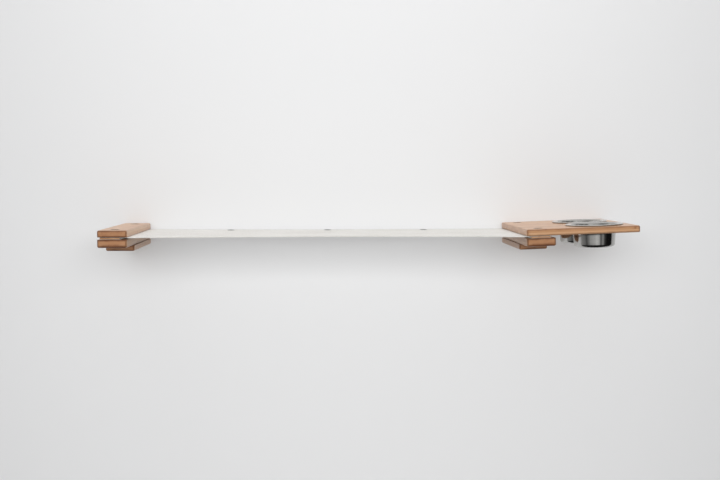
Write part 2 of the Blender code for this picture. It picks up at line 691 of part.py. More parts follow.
def eyelet_places():
    """Returns the eyelets' centres, on the canvas's middle plane."""
    start, end = canvas_ends()
    middle = (start.x + end.x) / 2
    first = middle - EYELET_PITCH * (EYELET_COUNT - 1) / 2
    places = []
    for i in range(EYELET_COUNT):
        x = first + i * EYELET_PITCH
        z = start.lerp(end, (x - start.x) / (end.x - start.x)).z
        places.append(Vector((x, -EYELET_TO_WALL, z)))
    return places


def add_eyelets(canvas):
    """Adds the eyelets, the rings that back them and their holes in the canvas."""
    surface = CANVAS_THICKNESS / 2 + FIT
    barrel = EYELET_HOLE_RADIUS + EYELET_BARREL_WALL
    under = -surface - EYELET_FLANGE_THICKNESS
    crown = surface + EYELET_FLANGE_THICKNESS
    lip = EYELET_HOLE_RADIUS + EYELET_FLANGE_THICKNESS / 2
    eyelet = [(EYELET_HOLE_RADIUS, under), (barrel, under), (barrel, surface),
              (EYELET_FLANGE_RADIUS, surface),
              (EYELET_FLANGE_RADIUS - EYELET_FLANGE_THICKNESS / 2, crown), (lip, crown),
              (EYELET_HOLE_RADIUS, crown - EYELET_FLANGE_THICKNESS / 2)]
    ring = [(barrel + FIT, under), (EYELET_FLANGE_RADIUS, under), (EYELET_FLANGE_RADIUS, -surface),
            (barrel + FIT, -surface)]
    for number, place in enumerate(eyelet_places(), start=1):
        add_object(f"canvas_eyelet_{number}", turned(eyelet, ROUND_SIDES), "eyelet_metal", at=place)
        add_object(f"canvas_eyelet_ring_{number}", turned(ring, ROUND_SIDES), "eyelet_metal", at=place)
        hole = upright_cylinder(barrel + FIT, (-OVERCUT, OVERCUT))
        cut(canvas, f"eyelet_hole_{number}", hole, at=place)


# Bowls

def bowl_profile():
    """Returns the closed outline of a bowl's sheet as (radius, height above the board) points."""
    bead = (BOWL_RIM_RADIUS - BOWL_BEAD_RADIUS, FIT + BOWL_BEAD_RADIUS)
    bottom = FIT + 2 * BOWL_BEAD_RADIUS - BOWL_HEIGHT
    under_board = -CLAMP_THICKNESS
    flange = FIT + 2 * BOWL_BEAD_RADIUS - BOWL_SHEET
    corner = BOWL_BASE_CORNER
    low_start = bottom + corner
    punt = bottom + BOWL_BASE_PUNT
    outer = [(0.0, punt), (BOWL_PUNT_RADIUS, punt), (BOWL_FOOT_RADIUS, bottom)]
    outer += arc((BOWL_WALL_LOW_RADIUS - corner, low_start), corner, -90, -4, 4)
    outer += [(BOWL_WALL_TOP_RADIUS, under_board),
              (BOWL_NECK_RADIUS - BOWL_SHOULDER / 3, -BOWL_NECK_DROP),
              (BOWL_NECK_RADIUS, -BOWL_NECK_DROP / 2)]
    outer += arc((BOWL_NECK_RADIUS + BOWL_NECK_CURVE, flange - BOWL_NECK_CURVE), BOWL_NECK_CURVE,
                 180, 95, 2)
    sheet_points = len(outer)
    outer += arc(bead, BOWL_BEAD_RADIUS, -165, 90, 5)
    inner = []
    for index in range(sheet_points - 1, 1, -1):
        before = Vector(outer[index - 1])
        after = Vector(outer[index + 1])
        along = (after - before).normalized()
        inward = Vector((-along.y, along.x))
        point = Vector(outer[index]) + inward * BOWL_SHEET
        inner.append((max(point.x, 0.0), point.y))
    inner.append((BOWL_PUNT_RADIUS, punt + BOWL_SHEET))
    inner.append((0.0, punt + BOWL_SHEET))
    return outer + inner


def add_bowl(name, frame, depth):
    """Adds a bowl that hangs in the board by its rim."""
    add_object(name, turned(bowl_profile(), FINE_SIDES), "polished_steel", frame,
               at=(BOWL_X, depth, CLAMP_TOP))


def build():
    """Clears the scene and models the whole feeder."""
    for item in list(bpy.data.objects):
        bpy.data.objects.remove(item, do_unlink=True)
    shelf_side = add_frame("shelf_side", Vector((0.0, 0.0, 0.0)), Matrix.Identity(3))
    feeder_side = add_frame("feeder_side", feeder_origin(), feeder_turn())
    bpy.context.view_layer.update()
    add_clamp_plate("left", shelf_side)
    add_bracket("left", shelf_side, -1, LEFT_HEM_INSET)
    add_feeder_board(feeder_side)
    add_bracket("right", feeder_side, 1, RIGHT_HEM_INSET)
    canvas = add_canvas()
    cut_canvas_pocket(canvas, "left", shelf_side, -1, LEFT_HEM_INSET)
    cut_canvas_pocket(canvas, "right", feeder_side, 1, RIGHT_HEM_INSET)
    add_eyelets(canvas)
    add_bowl("front_bowl", feeder_side, FRONT_BOWL_Y)
    add_bowl("rear_bowl", feeder_side, REAR_BOWL_Y)
    bpy.context.view_layer.update()


build()
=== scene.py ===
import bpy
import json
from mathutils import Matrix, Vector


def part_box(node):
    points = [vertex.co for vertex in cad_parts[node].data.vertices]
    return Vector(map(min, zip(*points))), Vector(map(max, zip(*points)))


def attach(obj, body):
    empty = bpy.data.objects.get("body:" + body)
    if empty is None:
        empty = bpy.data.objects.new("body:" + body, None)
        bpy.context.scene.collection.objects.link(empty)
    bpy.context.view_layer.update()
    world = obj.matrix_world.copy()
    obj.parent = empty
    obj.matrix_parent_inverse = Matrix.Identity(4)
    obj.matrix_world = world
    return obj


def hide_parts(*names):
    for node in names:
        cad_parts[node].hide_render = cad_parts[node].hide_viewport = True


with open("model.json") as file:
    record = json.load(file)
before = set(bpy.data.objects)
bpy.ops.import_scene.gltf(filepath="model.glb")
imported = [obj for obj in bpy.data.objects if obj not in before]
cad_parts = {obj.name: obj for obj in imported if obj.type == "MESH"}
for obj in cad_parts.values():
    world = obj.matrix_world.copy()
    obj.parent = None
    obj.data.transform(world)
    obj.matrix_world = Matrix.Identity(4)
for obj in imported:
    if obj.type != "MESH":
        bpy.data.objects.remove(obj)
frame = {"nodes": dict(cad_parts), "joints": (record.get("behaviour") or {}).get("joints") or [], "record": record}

"""Looks of the wall-mounted cat feeder: bamboo brackets, stretched canvas and pressed steel bowls.

All lengths are in metres, in the frame's own axes: +X along the wall, +Y into it and +Z up. Each
bracket is modelled level, with the middle of its wall plate at 0, and then put where it hangs.
"""

import json
import logging
import math
import random
from dataclasses import dataclass, replace
from enum import Enum
from typing import Iterable, Sequence

import bmesh
import bpy
from bmesh.types import BMEdge, BMesh
from bpy.types import Material, Node, NodeSocket, NodeTree, Object
from mathutils import Matrix, Vector

logging.basicConfig(level=logging.INFO, format="%(message)s")
LOG = logging.getLogger("cat_feeder")

SAME_PLACE = 1e-6
ON_AXIS = 0.99999
OVERCUT = 0.003
FIT = 0.0003
SHARP_ANGLE = math.radians(32)
Colour = tuple[float, float, float, float]
Profile = list[tuple[float, float]]


def srgb(red: int, green: int, blue: int) -> Colour:
    """Turns a display colour into the linear one that a shader takes.

    Args:
        red: Red from 0 to 255.
        green: Green from 0 to 255.
        blue: Blue from 0 to 255.

    Returns:
        The linear colour, with alpha 1.
    """
    def linear(value: int) -> float:
        """Turns one level of 0 to 255 into a linear share."""
        share = value / 255
        return share / 12.92 if share <= 0.04045 else ((share + 0.055) / 1.055) ** 2.4
    return (linear(red), linear(green), linear(blue), 1.0)


class Side(Enum):
    """The two brackets, and which way is outwards from the canvas."""

    LEFT = -1
    RIGHT = 1

    @property
    def word(self) -> str:
        """Returns the side's word in node names."""
        return self.name.lower()


class Grain(Enum):
    """The way that a board's fibres run, as the turn about Z that brings them to X."""

    ALONG_WALL = 0.0
    FROM_WALL = math.pi / 2


@dataclass(frozen=True)
class Placement:
    """Where a bracket hangs: the turn and shift from its own level frame to the shared one."""

    matrix: Matrix

    def box(self, node: str) -> tuple[Vector, Vector]:
        """Measures a node in the bracket's own frame.

        Args:
            node: The node's name.

        Returns:
            Its lowest and highest corners.
        """
        inverse = self.matrix.inverted()
        points = [inverse @ vert.co for vert in frame["nodes"][node].data.vertices]
        low = Vector(min(point[axis] for point in points) for axis in range(3))
        high = Vector(max(point[axis] for point in points) for axis in range(3))
        return low, high

    def put(self, shape: BMesh) -> BMesh:
        """Moves a shape from the bracket's own frame to the shared one and returns it."""
        bmesh.ops.transform(shape, matrix=self.matrix, verts=shape.verts)
        return shape


def mount(name: str) -> dict:
    """Returns the record's mount of that name."""
    return next(item for item in frame["record"]["mounts"] if item["name"] == name)


def lift_axis(joint: str) -> Sequence[float]:
    """Returns the axis of a bowl's lift, which points straight up out of the feeder board."""
    return next(item for item in frame["joints"] if item["name"] == joint)["axis"]


def placement_of(side: Side) -> Placement:
    """Reads from the record where a bracket hangs.

    Args:
        side: The bracket.

    Returns:
        Its placement; the left one is level at the origin.
    """
    if side is Side.LEFT:
        return Placement(Matrix.Identity(4))
    upwards = lift_axis("front_bowl_lift")
    tilt = math.atan2(-upwards[0], upwards[2])
    origin = Vector(mount("right_wall_face")["pos_m"])
    return Placement(Matrix.Translation(origin) @ Matrix.Rotation(-tilt, 4, "Y"))


# Shapes

def block(low: Sequence[float], high: Sequence[float]) -> BMesh:
    """Makes a box.

    Args:
        low: Its lowest corner.
        high: Its highest corner.

    Returns:
        The shape.
    """
    shape = bmesh.new()
    bmesh.ops.create_cube(shape, size=1.0)
    size = Vector(high) - Vector(low)
    bmesh.ops.scale(shape, vec=size, verts=shape.verts)
    bmesh.ops.translate(shape, vec=Vector(low) + size / 2, verts=shape.verts)
    return shape


def round_edges(shape: BMesh, edges: Iterable[BMEdge], width: float, segments: int) -> None:
    """Rounds edges over.

    Args:
        shape: The shape that holds them.
        edges: The edges.
        width: How far back the rounding starts on each face.
        segments: Faces across the rounding.
    """
    bmesh.ops.bevel(shape, geom=list(edges), offset=width, offset_type="OFFSET",
                    segments=segments, profile=0.5, affect="EDGES", clamp_overlap=True,
                    material=-1)


def edges_along(shape: BMesh, axis: int) -> list[BMEdge]:
    """Finds the edges that run along one axis.

    Args:
        shape: The shape.
        axis: 0, 1 or 2 for X, Y or Z.

    Returns:
        The edges.
    """
    others = [i for i in range(3) if i != axis]
    return [edge for edge in shape.edges
            if all(abs(edge.verts[0].co[i] - edge.verts[1].co[i]) < SAME_PLACE for i in others)]


def edges_at(shape: BMesh, axis: int, value: float) -> list[BMEdge]:
    """Returns the edges that lie wholly at one value of an axis."""
    return [edge for edge in shape.edges
            if all(abs(vert.co[axis] - value) < SAME_PLACE for vert in edge.verts)]


def turned(profile: Profile, sides: int) -> BMesh:
    """Turns an outline about Z.

    Args:
        profile: (radius, height) points. An outline that starts on the axis ends there, and any
            other is closed into a ring.
        sides: Steps of a full turn.

    Returns:
        A closed shape with its faces outwards.
    """
    shape = bmesh.new()
    points = [shape.verts.new((radius, 0.0, height)) for radius, height in profile]
    pairs = list(zip(points, points[1:]))
    if profile[0][0] > 0.0:
        pairs.append((points[-1], points[0]))
    edges = [shape.edges.new(pair) for pair in pairs]
    bmesh.ops.spin(shape, geom=points + edges, cent=(0, 0, 0), axis=(0, 0, 1),
                   angle=math.tau, steps=sides, use_merge=True)
    bmesh.ops.remove_doubles(shape, verts=shape.verts, dist=SAME_PLACE / 10)
    bmesh.ops.recalc_face_normals(shape, faces=shape.faces)
    return shape


def arc(centre: tuple[float, float], radius: float, start: float, end: float,
        steps: int) -> Profile:
    """Lists points of an arc in an outline.

    Args:
        centre: Its centre as (radius, height).
        radius: Its radius.
        start: First angle in degrees.
        end: Last angle in degrees.
        steps: Stretches between the points.

    Returns:
        The points.
    """
    angles = [math.radians(start + (end - start) * i / steps) for i in range(steps + 1)]
    return [(centre[0] + radius * math.cos(a), centre[1] + radius * math.sin(a)) for a in angles]


def prism(width: float, low: float, high: float) -> BMesh:
    """Makes a hexagonal prism on Z.

    Args:
        width: Its width across the flats.
        low: Where it starts.
        high: Where it ends.

    Returns:
        The shape.
    """
    shape = bmesh.new()
    radius = width / math.sqrt(3)
    bmesh.ops.create_cone(shape, cap_ends=True, segments=6, radius1=radius, radius2=radius,
                          depth=high - low, matrix=Matrix.Translation((0, 0, (low + high) / 2)))
    return shape


def moved(shape: BMesh, x: float, y: float, z: float = 0.0) -> BMesh:
    """Shifts a shape and returns it."""
    bmesh.ops.translate(shape, vec=(x, y, z), verts=shape.verts)
    return shape


def laid_back(shape: BMesh) -> BMesh:
    """Turns a shape so that what pointed up points out from the wall.

    Args:
        shape: The shape.

    Returns:
        The same shape.
    """
    bmesh.ops.rotate(shape, cent=(0, 0, 0), matrix=Matrix.Rotation(math.radians(90), 3, "X"),
                     verts=shape.verts)
    return shape


def scratch_object(shape: BMesh, name: str) -> Object:
    """Puts a shape into a new object of the scene and frees the shape.

    Args:
        shape: The shape.
        name: The object's name.

    Returns:
        The object.
    """
    mesh = bpy.data.meshes.new(name)
    shape.to_mesh(mesh)
    shape.free()
    item = bpy.data.objects.new(name, mesh)
    bpy.context.scene.collection.objects.link(item)
    return item


def split_sloping(shape: BMesh) -> None:
    """Splits the faces off the axes' planes into triangles, so that each is exactly flat.

    Args:
        shape: The shape.
    """
    sloping = [face for face in shape.faces
               if len(face.verts) > 3 and max(abs(value) for value in face.normal) < ON_AXIS]
    bmesh.ops.triangulate(shape, faces=sloping)


def carved(body: BMesh, cutters: Sequence[BMesh], operation: str = "DIFFERENCE") -> BMesh:
    """Cuts shapes out of another, joins them to it or keeps what they share.

    Args:
        body: The shape that is kept.
        cutters: The other shapes, which are used up.
        operation: DIFFERENCE, UNION or INTERSECT.

    Returns:
        The new shape.
    """
    for shape in (body, *cutters):
        split_sloping(shape)
    item = scratch_object(body, "carved")
    tools = [scratch_object(cutter, "tool") for cutter in cutters]
    for tool in tools:
        step = item.modifiers.new("cut", "BOOLEAN")
        step.operation = operation
        step.solver = "EXACT"
        step.object = tool
    graph = bpy.context.evaluated_depsgraph_get()
    mesh = bpy.data.meshes.new_from_object(item.evaluated_get(graph))
    result = bmesh.new()
    result.from_mesh(mesh)
    bmesh.ops.remove_doubles(result, verts=result.verts, dist=SAME_PLACE)
    bmesh.ops.holes_fill(result, edges=[edge for edge in result.edges if edge.is_boundary])
    gaps = sum(1 for edge in result.edges if not edge.is_manifold)
    if gaps:
        LOG.warning("a carved shape has %d open edges", gaps)
    for spare in [item, *tools]:
        old = spare.data
        bpy.data.objects.remove(spare)
        bpy.data.meshes.remove(old)
    bpy.data.meshes.remove(mesh)
    return result


@dataclass(frozen=True)
class Holding:
    """What carries a new piece and what it stands for."""

    slot: str
    body: str = "root"
    nodes: tuple[str, ...] = ()


def finish_piece(name: str, shape: BMesh, material: Material, holding: Holding,
                 even_normals: bool = False) -> Object:
    """Turns a shape into a finished piece of the object.

    Args:
        name: The piece's name.
        shape: Its shape in the shared frame.
        material: Its material.
        holding: Its body and the nodes that it replaces.
        even_normals: Whether large flat faces keep their shading flat up to the roundings.

    Returns:
        The piece.
    """
    item = scratch_object(shape, name)
    item.data.shade_smooth()
    item.data.set_sharp_from_angle(angle=SHARP_ANGLE)
    if even_normals:
        step = item.modifiers.new("even_normals", "WEIGHTED_NORMAL")
        step.keep_sharp = True
        step.weight = 100
    item.data.materials.append(material)
    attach(item, holding.body)
    if holding.nodes:
        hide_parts(*holding.nodes)
    LOG.info("%s: %d faces, rides on %s", name, len(item.data.polygons), holding.body)
    return item


# Shader nodes

class NodeSheet:
    """Adds and links the nodes of one shader tree or group."""

    def __init__(self, tree: NodeTree) -> None:
        """Starts on a tree.

        Args:
            tree: The tree that the nodes go into.
        """
        self.tree = tree

    def add(self, kind: str, **settings: object) -> Node:
        """Adds a node.

        Args:
            kind: Its type, without the ShaderNode in front.
            settings: Its properties.

        Returns:
            The node.
        """
        node = self.tree.nodes.new("ShaderNode" + kind)
        for key, value in settings.items():
            setattr(node, key, value)
        return node

    def feed(self, socket: NodeSocket, value: object) -> None:
        """Links a socket, or sets its value.

        Args:
            socket: The input.
            value: An output socket to link, or a plain value.
        """
        if isinstance(value, NodeSocket):
            self.tree.links.new(value, socket)
        else:
            socket.default_value = value

    def math(self, operation: str, *values: object, clamp: bool = False) -> NodeSocket:
        """Adds a Math node.

        Args:
            operation: Its operation.
            values: Its inputs, in order.
            clamp: Whether the result stays within 0 and 1.

        Returns:
            Its output.
        """
        node = self.add("Math", operation=operation, use_clamp=clamp)
        for socket, value in zip(node.inputs, values):
            self.feed(socket, value)
        return node.outputs[0]

    def vector(self, operation: str, *values: object) -> NodeSocket:
        """Adds a Vector Math node.

        Args:
            operation: Its operation.
            values: Its inputs, in order.

        Returns:
            Its vector, or the number that it works out.
        """
        node = self.add("VectorMath", operation=operation)
        for socket, value in zip(node.inputs, values):
            self.feed(socket, value)
        single = operation in ("DOT_PRODUCT", "LENGTH")
        return node.outputs["Value" if single else "Vector"]

    def step(self, value: object, low: float, high: float, out_low: float = 0.0,
             out_high: float = 1.0) -> NodeSocket:
        """Eases a value from one range to another.

        Args:
            value: The input.
            low: Where the easing starts.
            high: Where it ends.
            out_low: The result at low.
            out_high: The result at high.

        Returns:
            The eased value.
        """
        node = self.add("MapRange", interpolation_type="SMOOTHSTEP")
        for name, given in (("Value", value), ("From Min", low), ("From Max", high),
                            ("To Min", out_low), ("To Max", out_high)):
            self.feed(node.inputs[name], given)
        return node.outputs["Result"]

    def mix(self, share: object, first: object, second: object) -> NodeSocket:
        """Mixes two colours.

        Args:
            share: How much of the second shows.
            first: The first colour.
            second: The second colour.

        Returns:
            The mixed colour.
        """
        node = self.add("Mix", data_type="RGBA")
        self.feed(node.inputs[0], share)
        self.feed(node.inputs[6], first)
        self.feed(node.inputs[7], second)
        return node.outputs[2]

    def noise(self, vector: object, scale: float, detail: float = 3.0,
              roughness: float = 0.5) -> NodeSocket:
        """Adds a noise texture and returns its value.

        Args:
            vector: Where it is read.
            scale: Its scale in waves per metre of that vector.
            detail: How many finer layers it has.
            roughness: How strong they are.

        Returns:
            A value round 0.5.
        """
        node = self.add("TexNoise", noise_dimensions="3D")
        self.feed(node.inputs["Vector"], vector)
        self.feed(node.inputs["Scale"], scale)
        self.feed(node.inputs["Detail"], detail)
        self.feed(node.inputs["Roughness"], roughness)
        return node.outputs["Fac"]

    def stretched(self, vector: object, scale: Sequence[float]) -> NodeSocket:
        """Scales a vector along each axis and returns it."""
        return self.vector("MULTIPLY", vector, tuple(scale))

    def split(self, vector: object) -> tuple[NodeSocket, NodeSocket, NodeSocket]:
        """Splits a vector into its three numbers.

        Args:
            vector: The vector.

        Returns:
            Its x, y and z.
        """
        node = self.add("SeparateXYZ")
        self.feed(node.inputs[0], vector)
        return node.outputs[0], node.outputs[1], node.outputs[2]

    def join(self, x: object, y: object, z: object) -> NodeSocket:
        """Joins three numbers into a vector.

        Args:
            x: The first.
            y: The second.
            z: The third.

        Returns:
            The vector.
        """
        node = self.add("CombineXYZ")
        for socket, value in zip(node.inputs, (x, y, z)):
            self.feed(socket, value)
        return node.outputs[0]

    def ramp(self, value: object, stops: Sequence[tuple[float, float]]) -> NodeSocket:
        """Reads a grey level from a list of stops, eased between them.

        Args:
            value: The place, from 0 to 1.
            stops: (place, level) pairs in order.

        Returns:
            The level.
        """
        node = self.add("ValToRGB")
        elements = node.color_ramp.elements
        node.color_ramp.interpolation = "EASE"
        while len(elements) < len(stops):
            elements.new(0.5)
        for element, (place, level) in zip(elements, stops):
            element.position = place
            element.color = (level, level, level, 1.0)
        self.feed(node.inputs[0], value)
        return node.outputs["Color"]

    def bump(self, height: object, strength: float, distance: float) -> NodeSocket:
        """Turns a height into a normal.

        Args:
            height: The height from 0 to 1.
            strength: Share of the effect.
            distance: What a height of 1 is in metres.

        Returns:
            The normal.
        """
        node = self.add("Bump")
        node.inputs["Strength"].default_value = strength
        node.inputs["Distance"].default_value = distance
        self.feed(node.inputs["Height"], height)
        return node.outputs["Normal"]

    def group(self, tree: NodeTree, **values: object) -> Node:
        """Adds a shared group with its own values.

        Args:
            tree: The group's tree.
            values: Its inputs by name, with _ for a space.

        Returns:
            The group node.
        """
        node = self.add("Group", node_tree=tree)
        for key, value in values.items():
            self.feed(node.inputs[key.replace("_", " ")], value)
        return node


def new_group(name: str, inputs: Sequence[tuple[str, str]],
              outputs: Sequence[tuple[str, str]]) -> tuple[NodeSheet, Node, Node]:
    """Starts a shared node group.

    Args:
        name: Its name.
        inputs: (name, socket kind) of each input.
        outputs: (name, socket kind) of each output.

    Returns:
        The sheet, its input node and its output node.
    """
    tree = bpy.data.node_groups.new(name, "ShaderNodeTree")
    for label, kind in inputs:
        tree.interface.new_socket(label, in_out="INPUT", socket_type="NodeSocket" + kind)
    for label, kind in outputs:
        tree.interface.new_socket(label, in_out="OUTPUT", socket_type="NodeSocket" + kind)
    sheet = NodeSheet(tree)
    return sheet, tree.nodes.new("NodeGroupInput"), tree.nodes.new("NodeGroupOutput")


class Effects:
    """The shared node groups, each built once."""

    def __init__(self) -> None:
        """Builds every group."""
        self.bamboo = self.build_bamboo()
        self.burnish = self.build_edge_burn_and_shade()
        self.char = self.build_bore_shade()
        self.scratches = self.build_scratches()
        self.weave = self.build_weave()

    @staticmethod
    def build_bamboo() -> NodeTree:
        """Builds laminated bamboo: strips, plies, fibres and knuckles, with fibres along X.

        Returns:
            The group, with Tone, Dark and Height from 0 to 1.
        """
        sheet, given, made = new_group(
            "laminated_bamboo",
            [("Vector", "Vector"), ("Strip", "Float"), ("Ply", "Float"), ("Seed", "Float")],
            [("Tone", "Float"), ("Dark", "Float"), ("Height", "Float"), ("Pores", "Float")])
        along, across, height = sheet.split(given.outputs["Vector"])
        ply_number = sheet.math("FLOOR", sheet.math("DIVIDE", height, given.outputs["Ply"]))
        shift = sheet.math("MULTIPLY", ply_number, 0.37)
        strip_at = sheet.math("ADD", sheet.math("DIVIDE", across, given.outputs["Strip"]), shift)
        strip_number = sheet.math("FLOOR", strip_at)
        strip_share = sheet.math("FRACT", strip_at)
        ply_share = sheet.math("FRACT", sheet.math("DIVIDE", height, given.outputs["Ply"]))
        chance = sheet.add("TexWhiteNoise", noise_dimensions="3D")
        sheet.feed(chance.inputs["Vector"],
                   sheet.join(strip_number, ply_number, given.outputs["Seed"]))
        strip_tone = chance.outputs["Value"]
        # Fibres are read from a place that jumps from strip to strip
        jump = sheet.vector("SCALE", chance.outputs["Color"])
        jump.node.inputs["Scale"].default_value = 3.0
        place = sheet.vector("ADD", given.outputs["Vector"], jump)
        fine = sheet.noise(sheet.stretched(place, (14, 950, 950)), 1.0, 4.0, 0.55)
        broad = sheet.noise(sheet.stretched(place, (3.5, 150, 150)), 1.0, 3.0, 0.5)
        slow = sheet.noise(sheet.stretched(place, (2.2, 24, 24)), 1.0, 2.0, 0.5)
        # Knuckles cross each strip at a pitch of their own
        knuckle_pitch = 0.235
        knuckle_at = sheet.math("ADD", sheet.math("DIVIDE", along, knuckle_pitch),
                                sheet.math("MULTIPLY", strip_tone, 5.7))
        wobble = sheet.math("MULTIPLY", sheet.math("SUBTRACT", broad, 0.5), 0.012)
        knuckle_share = sheet.math("ADD", sheet.math("FRACT", knuckle_at), wobble)
        off_knuckle = sheet.math("ABSOLUTE", sheet.math("SUBTRACT", knuckle_share, 0.5))
        knuckle = sheet.step(off_knuckle, 0.003, 0.011, 1.0, 0.0)
        halo = sheet.step(off_knuckle, 0.006, 0.045, 1.0, 0.0)
        # Joints between strips and between plies
        off_joint = sheet.math("SUBTRACT", 0.5, sheet.math(
            "ABSOLUTE", sheet.math("SUBTRACT", strip_share, 0.5)))
        off_ply = sheet.math("SUBTRACT", 0.5, sheet.math(
            "ABSOLUTE", sheet.math("SUBTRACT", ply_share, 0.5)))
        joint = sheet.math("MAXIMUM", sheet.step(off_joint, 0.002, 0.016, 1.0, 0.0),
                           sheet.step(off_ply, 0.01, 0.06, 1.0, 0.0))
        tone = sheet.math("MULTIPLY_ADD", strip_tone, 0.34, sheet.math(
            "MULTIPLY_ADD", fine, 0.42, sheet.math("MULTIPLY_ADD", broad, 0.42, sheet.math(
                "MULTIPLY_ADD", slow, 0.36, -0.30))))
        sheet.feed(made.inputs["Tone"], sheet.math("SUBTRACT", tone, sheet.math(
            "MULTIPLY", halo, 0.07), clamp=True))
        dark = sheet.math("MAXIMUM", sheet.math("MULTIPLY", knuckle, 0.55),
                          sheet.math("MULTIPLY", joint, 0.28))
        sheet.feed(made.inputs["Dark"], dark)
        sheet.feed(made.inputs["Height"], sheet.math(
            "SUBTRACT", sheet.math("MULTIPLY_ADD", fine, 0.5, 0.5),
            sheet.math("MULTIPLY", dark, 0.8)))
        # Cut fibre bundles on the end grain, denser towards one side of each ply
        cells = sheet.add("TexVoronoi", feature="F1", voronoi_dimensions="3D")
        sheet.feed(cells.inputs["Vector"], sheet.stretched(place, (6, 1500, 1700)))
        cells.inputs["Scale"].default_value = 1.0
        sheet.feed(made.inputs["Pores"], sheet.math(
            "MULTIPLY", sheet.step(cells.outputs["Distance"], 0.18, 0.5, 1.0, 0.0),
            sheet.math("MULTIPLY_ADD", ply_share, 0.8, 0.3), clamp=True))
        return sheet.tree

    @staticmethod
    def build_edge_burn_and_shade() -> NodeTree:
        """Builds the mask of a board's rounded edges, from the place inside its box.

        Returns:
            The group, with Mask 1 at an edge and 0 at Reach from it, or further in at the
            underside, where Underside Burn And Shade Share is below 1; that wider band is painted shade as well as
            burn.
        """
        sheet, given, made = new_group(
            "edge_burn_and_painted_shade",
            [("Vector", "Vector"), ("Half Size", "Vector"), ("Reach", "Float"),
             ("Low Share", "Float")],
            [("Mask", "Float")])
        inside = sheet.vector("SUBTRACT", given.outputs["Half Size"],
                              sheet.vector("ABSOLUTE", given.outputs["Vector"]))
        x, y, z = sheet.split(inside)
        _, _, level = sheet.split(given.outputs["Vector"])
        z = sheet.math("MULTIPLY", z, sheet.step(level, -0.001, 0.001,
                                                 given.outputs["Low Share"], 1.0))
        low = sheet.math("MINIMUM", x, y)
        high = sheet.math("MAXIMUM", x, y)
        middle = sheet.math("MAXIMUM", low, sheet.math("MINIMUM", high, z))
        rough = sheet.noise(sheet.stretched(given.outputs["Vector"], (70, 70, 70)), 1.0, 3.0)
        uneven = sheet.math("MULTIPLY", sheet.math("SUBTRACT", rough, 0.5), 0.7)
        share = sheet.math("DIVIDE", middle, given.outputs["Reach"])
        sheet.feed(made.inputs["Mask"],
                   sheet.step(sheet.math("ADD", share, uneven), 0.15, 1.0, 1.0, 0.0))
        return sheet.tree

    @staticmethod
    def build_bore_shade() -> NodeTree:
        """Builds the mask of the painted shade in and around a bolt's counterbore.

        Returns:
            The group, with Mask 1 within Radius of the bore's axis and 0 past its soft edge.
        """
        sheet, given, made = new_group(
            "bore_painted_shade",
            [("Vector", "Vector"), ("Centre", "Vector"), ("Radius", "Float")],
            [("Mask", "Float")])
        x, y, _ = sheet.split(sheet.vector(
            "SUBTRACT", given.outputs["Vector"], given.outputs["Centre"]))
        reach = sheet.math("DIVIDE", sheet.vector("LENGTH", sheet.join(x, y, 0.0)),
                           given.outputs["Radius"])
        rough = sheet.noise(sheet.stretched(given.outputs["Vector"], (300, 300, 300)), 1.0, 2.0)
        uneven = sheet.math("MULTIPLY_ADD", rough, 0.2, -0.1)
        sheet.feed(made.inputs["Mask"],
                   sheet.step(sheet.math("ADD", reach, uneven), 1.2, 1.6, 1.0, 0.0))
        return sheet.tree

    @staticmethod
    def build_scratches() -> NodeTree:
        """Builds the fine marks on metal.

        Returns:
            The group, with Marks and Height from 0 to 1.
        """
        sheet, given, made = new_group(
            "metal_marks", [("Vector", "Vector"), ("Scale", "Float")],
            [("Marks", "Float"), ("Height", "Float")])
        cloud = sheet.noise(given.outputs["Vector"], 60.0, 3.0)
        node = sheet.add("TexNoise", noise_dimensions="3D")
        sheet.feed(node.inputs["Vector"], given.outputs["Vector"])
        sheet.feed(node.inputs["Scale"], given.outputs["Scale"])
        node.inputs["Detail"].default_value = 5.0
        node.inputs["Roughness"].default_value = 0.65
        sheet.feed(made.inputs["Marks"], sheet.math(
            "MULTIPLY_ADD", cloud, 0.5, sheet.math("MULTIPLY", node.outputs["Fac"], 0.5)))
        sheet.feed(made.inputs["Height"], node.outputs["Fac"])
        return sheet.tree

    @staticmethod
    def build_weave() -> NodeTree:
        """Builds a plain weave from a place measured in metres of cloth.

        Returns:
            The group, with Height, Tone and Gap from 0 to 1.
        """
        sheet, given, made = new_group(
            "plain_weave", [("Vector", "Vector"), ("Pitch", "Float")],
            [("Height", "Float"), ("Tone", "Float"), ("Gap", "Float")])
        u, v, _ = sheet.split(given.outputs["Vector"])
        slub = sheet.noise(sheet.stretched(given.outputs["Vector"], (35, 900, 1)), 1.0, 2.0)
        slub_across = sheet.noise(sheet.stretched(given.outputs["Vector"], (900, 35, 1)), 1.0, 2.0)
        waves = []
        for place in (u, v):
            thread = sheet.math("DIVIDE", place, given.outputs["Pitch"])
            waves.append(sheet.math("SINE", sheet.math("MULTIPLY", thread, math.pi)))
        warp, weft = (sheet.math("ABSOLUTE", wave) for wave in waves)
        over = sheet.math("MULTIPLY", *waves)
        on_top = sheet.step(over, -0.35, 0.35)
        height = sheet.math("ADD", sheet.math("MULTIPLY", warp, on_top), sheet.math(
            "MULTIPLY", weft, sheet.math("SUBTRACT", 1.0, on_top)))
        uneven = sheet.math("MULTIPLY_ADD", slub, 0.5, sheet.math("MULTIPLY", slub_across, 0.5))
        sheet.feed(made.inputs["Height"], sheet.math(
            "MULTIPLY", height, sheet.math("MULTIPLY_ADD", uneven, 0.8, 0.6)))
        sheet.feed(made.inputs["Tone"], uneven)
        gap = sheet.step(sheet.math("MAXIMUM", warp, weft), 0.35, 0.75, 1.0, 0.0)
        sheet.feed(made.inputs["Gap"], gap)
        return sheet.tree


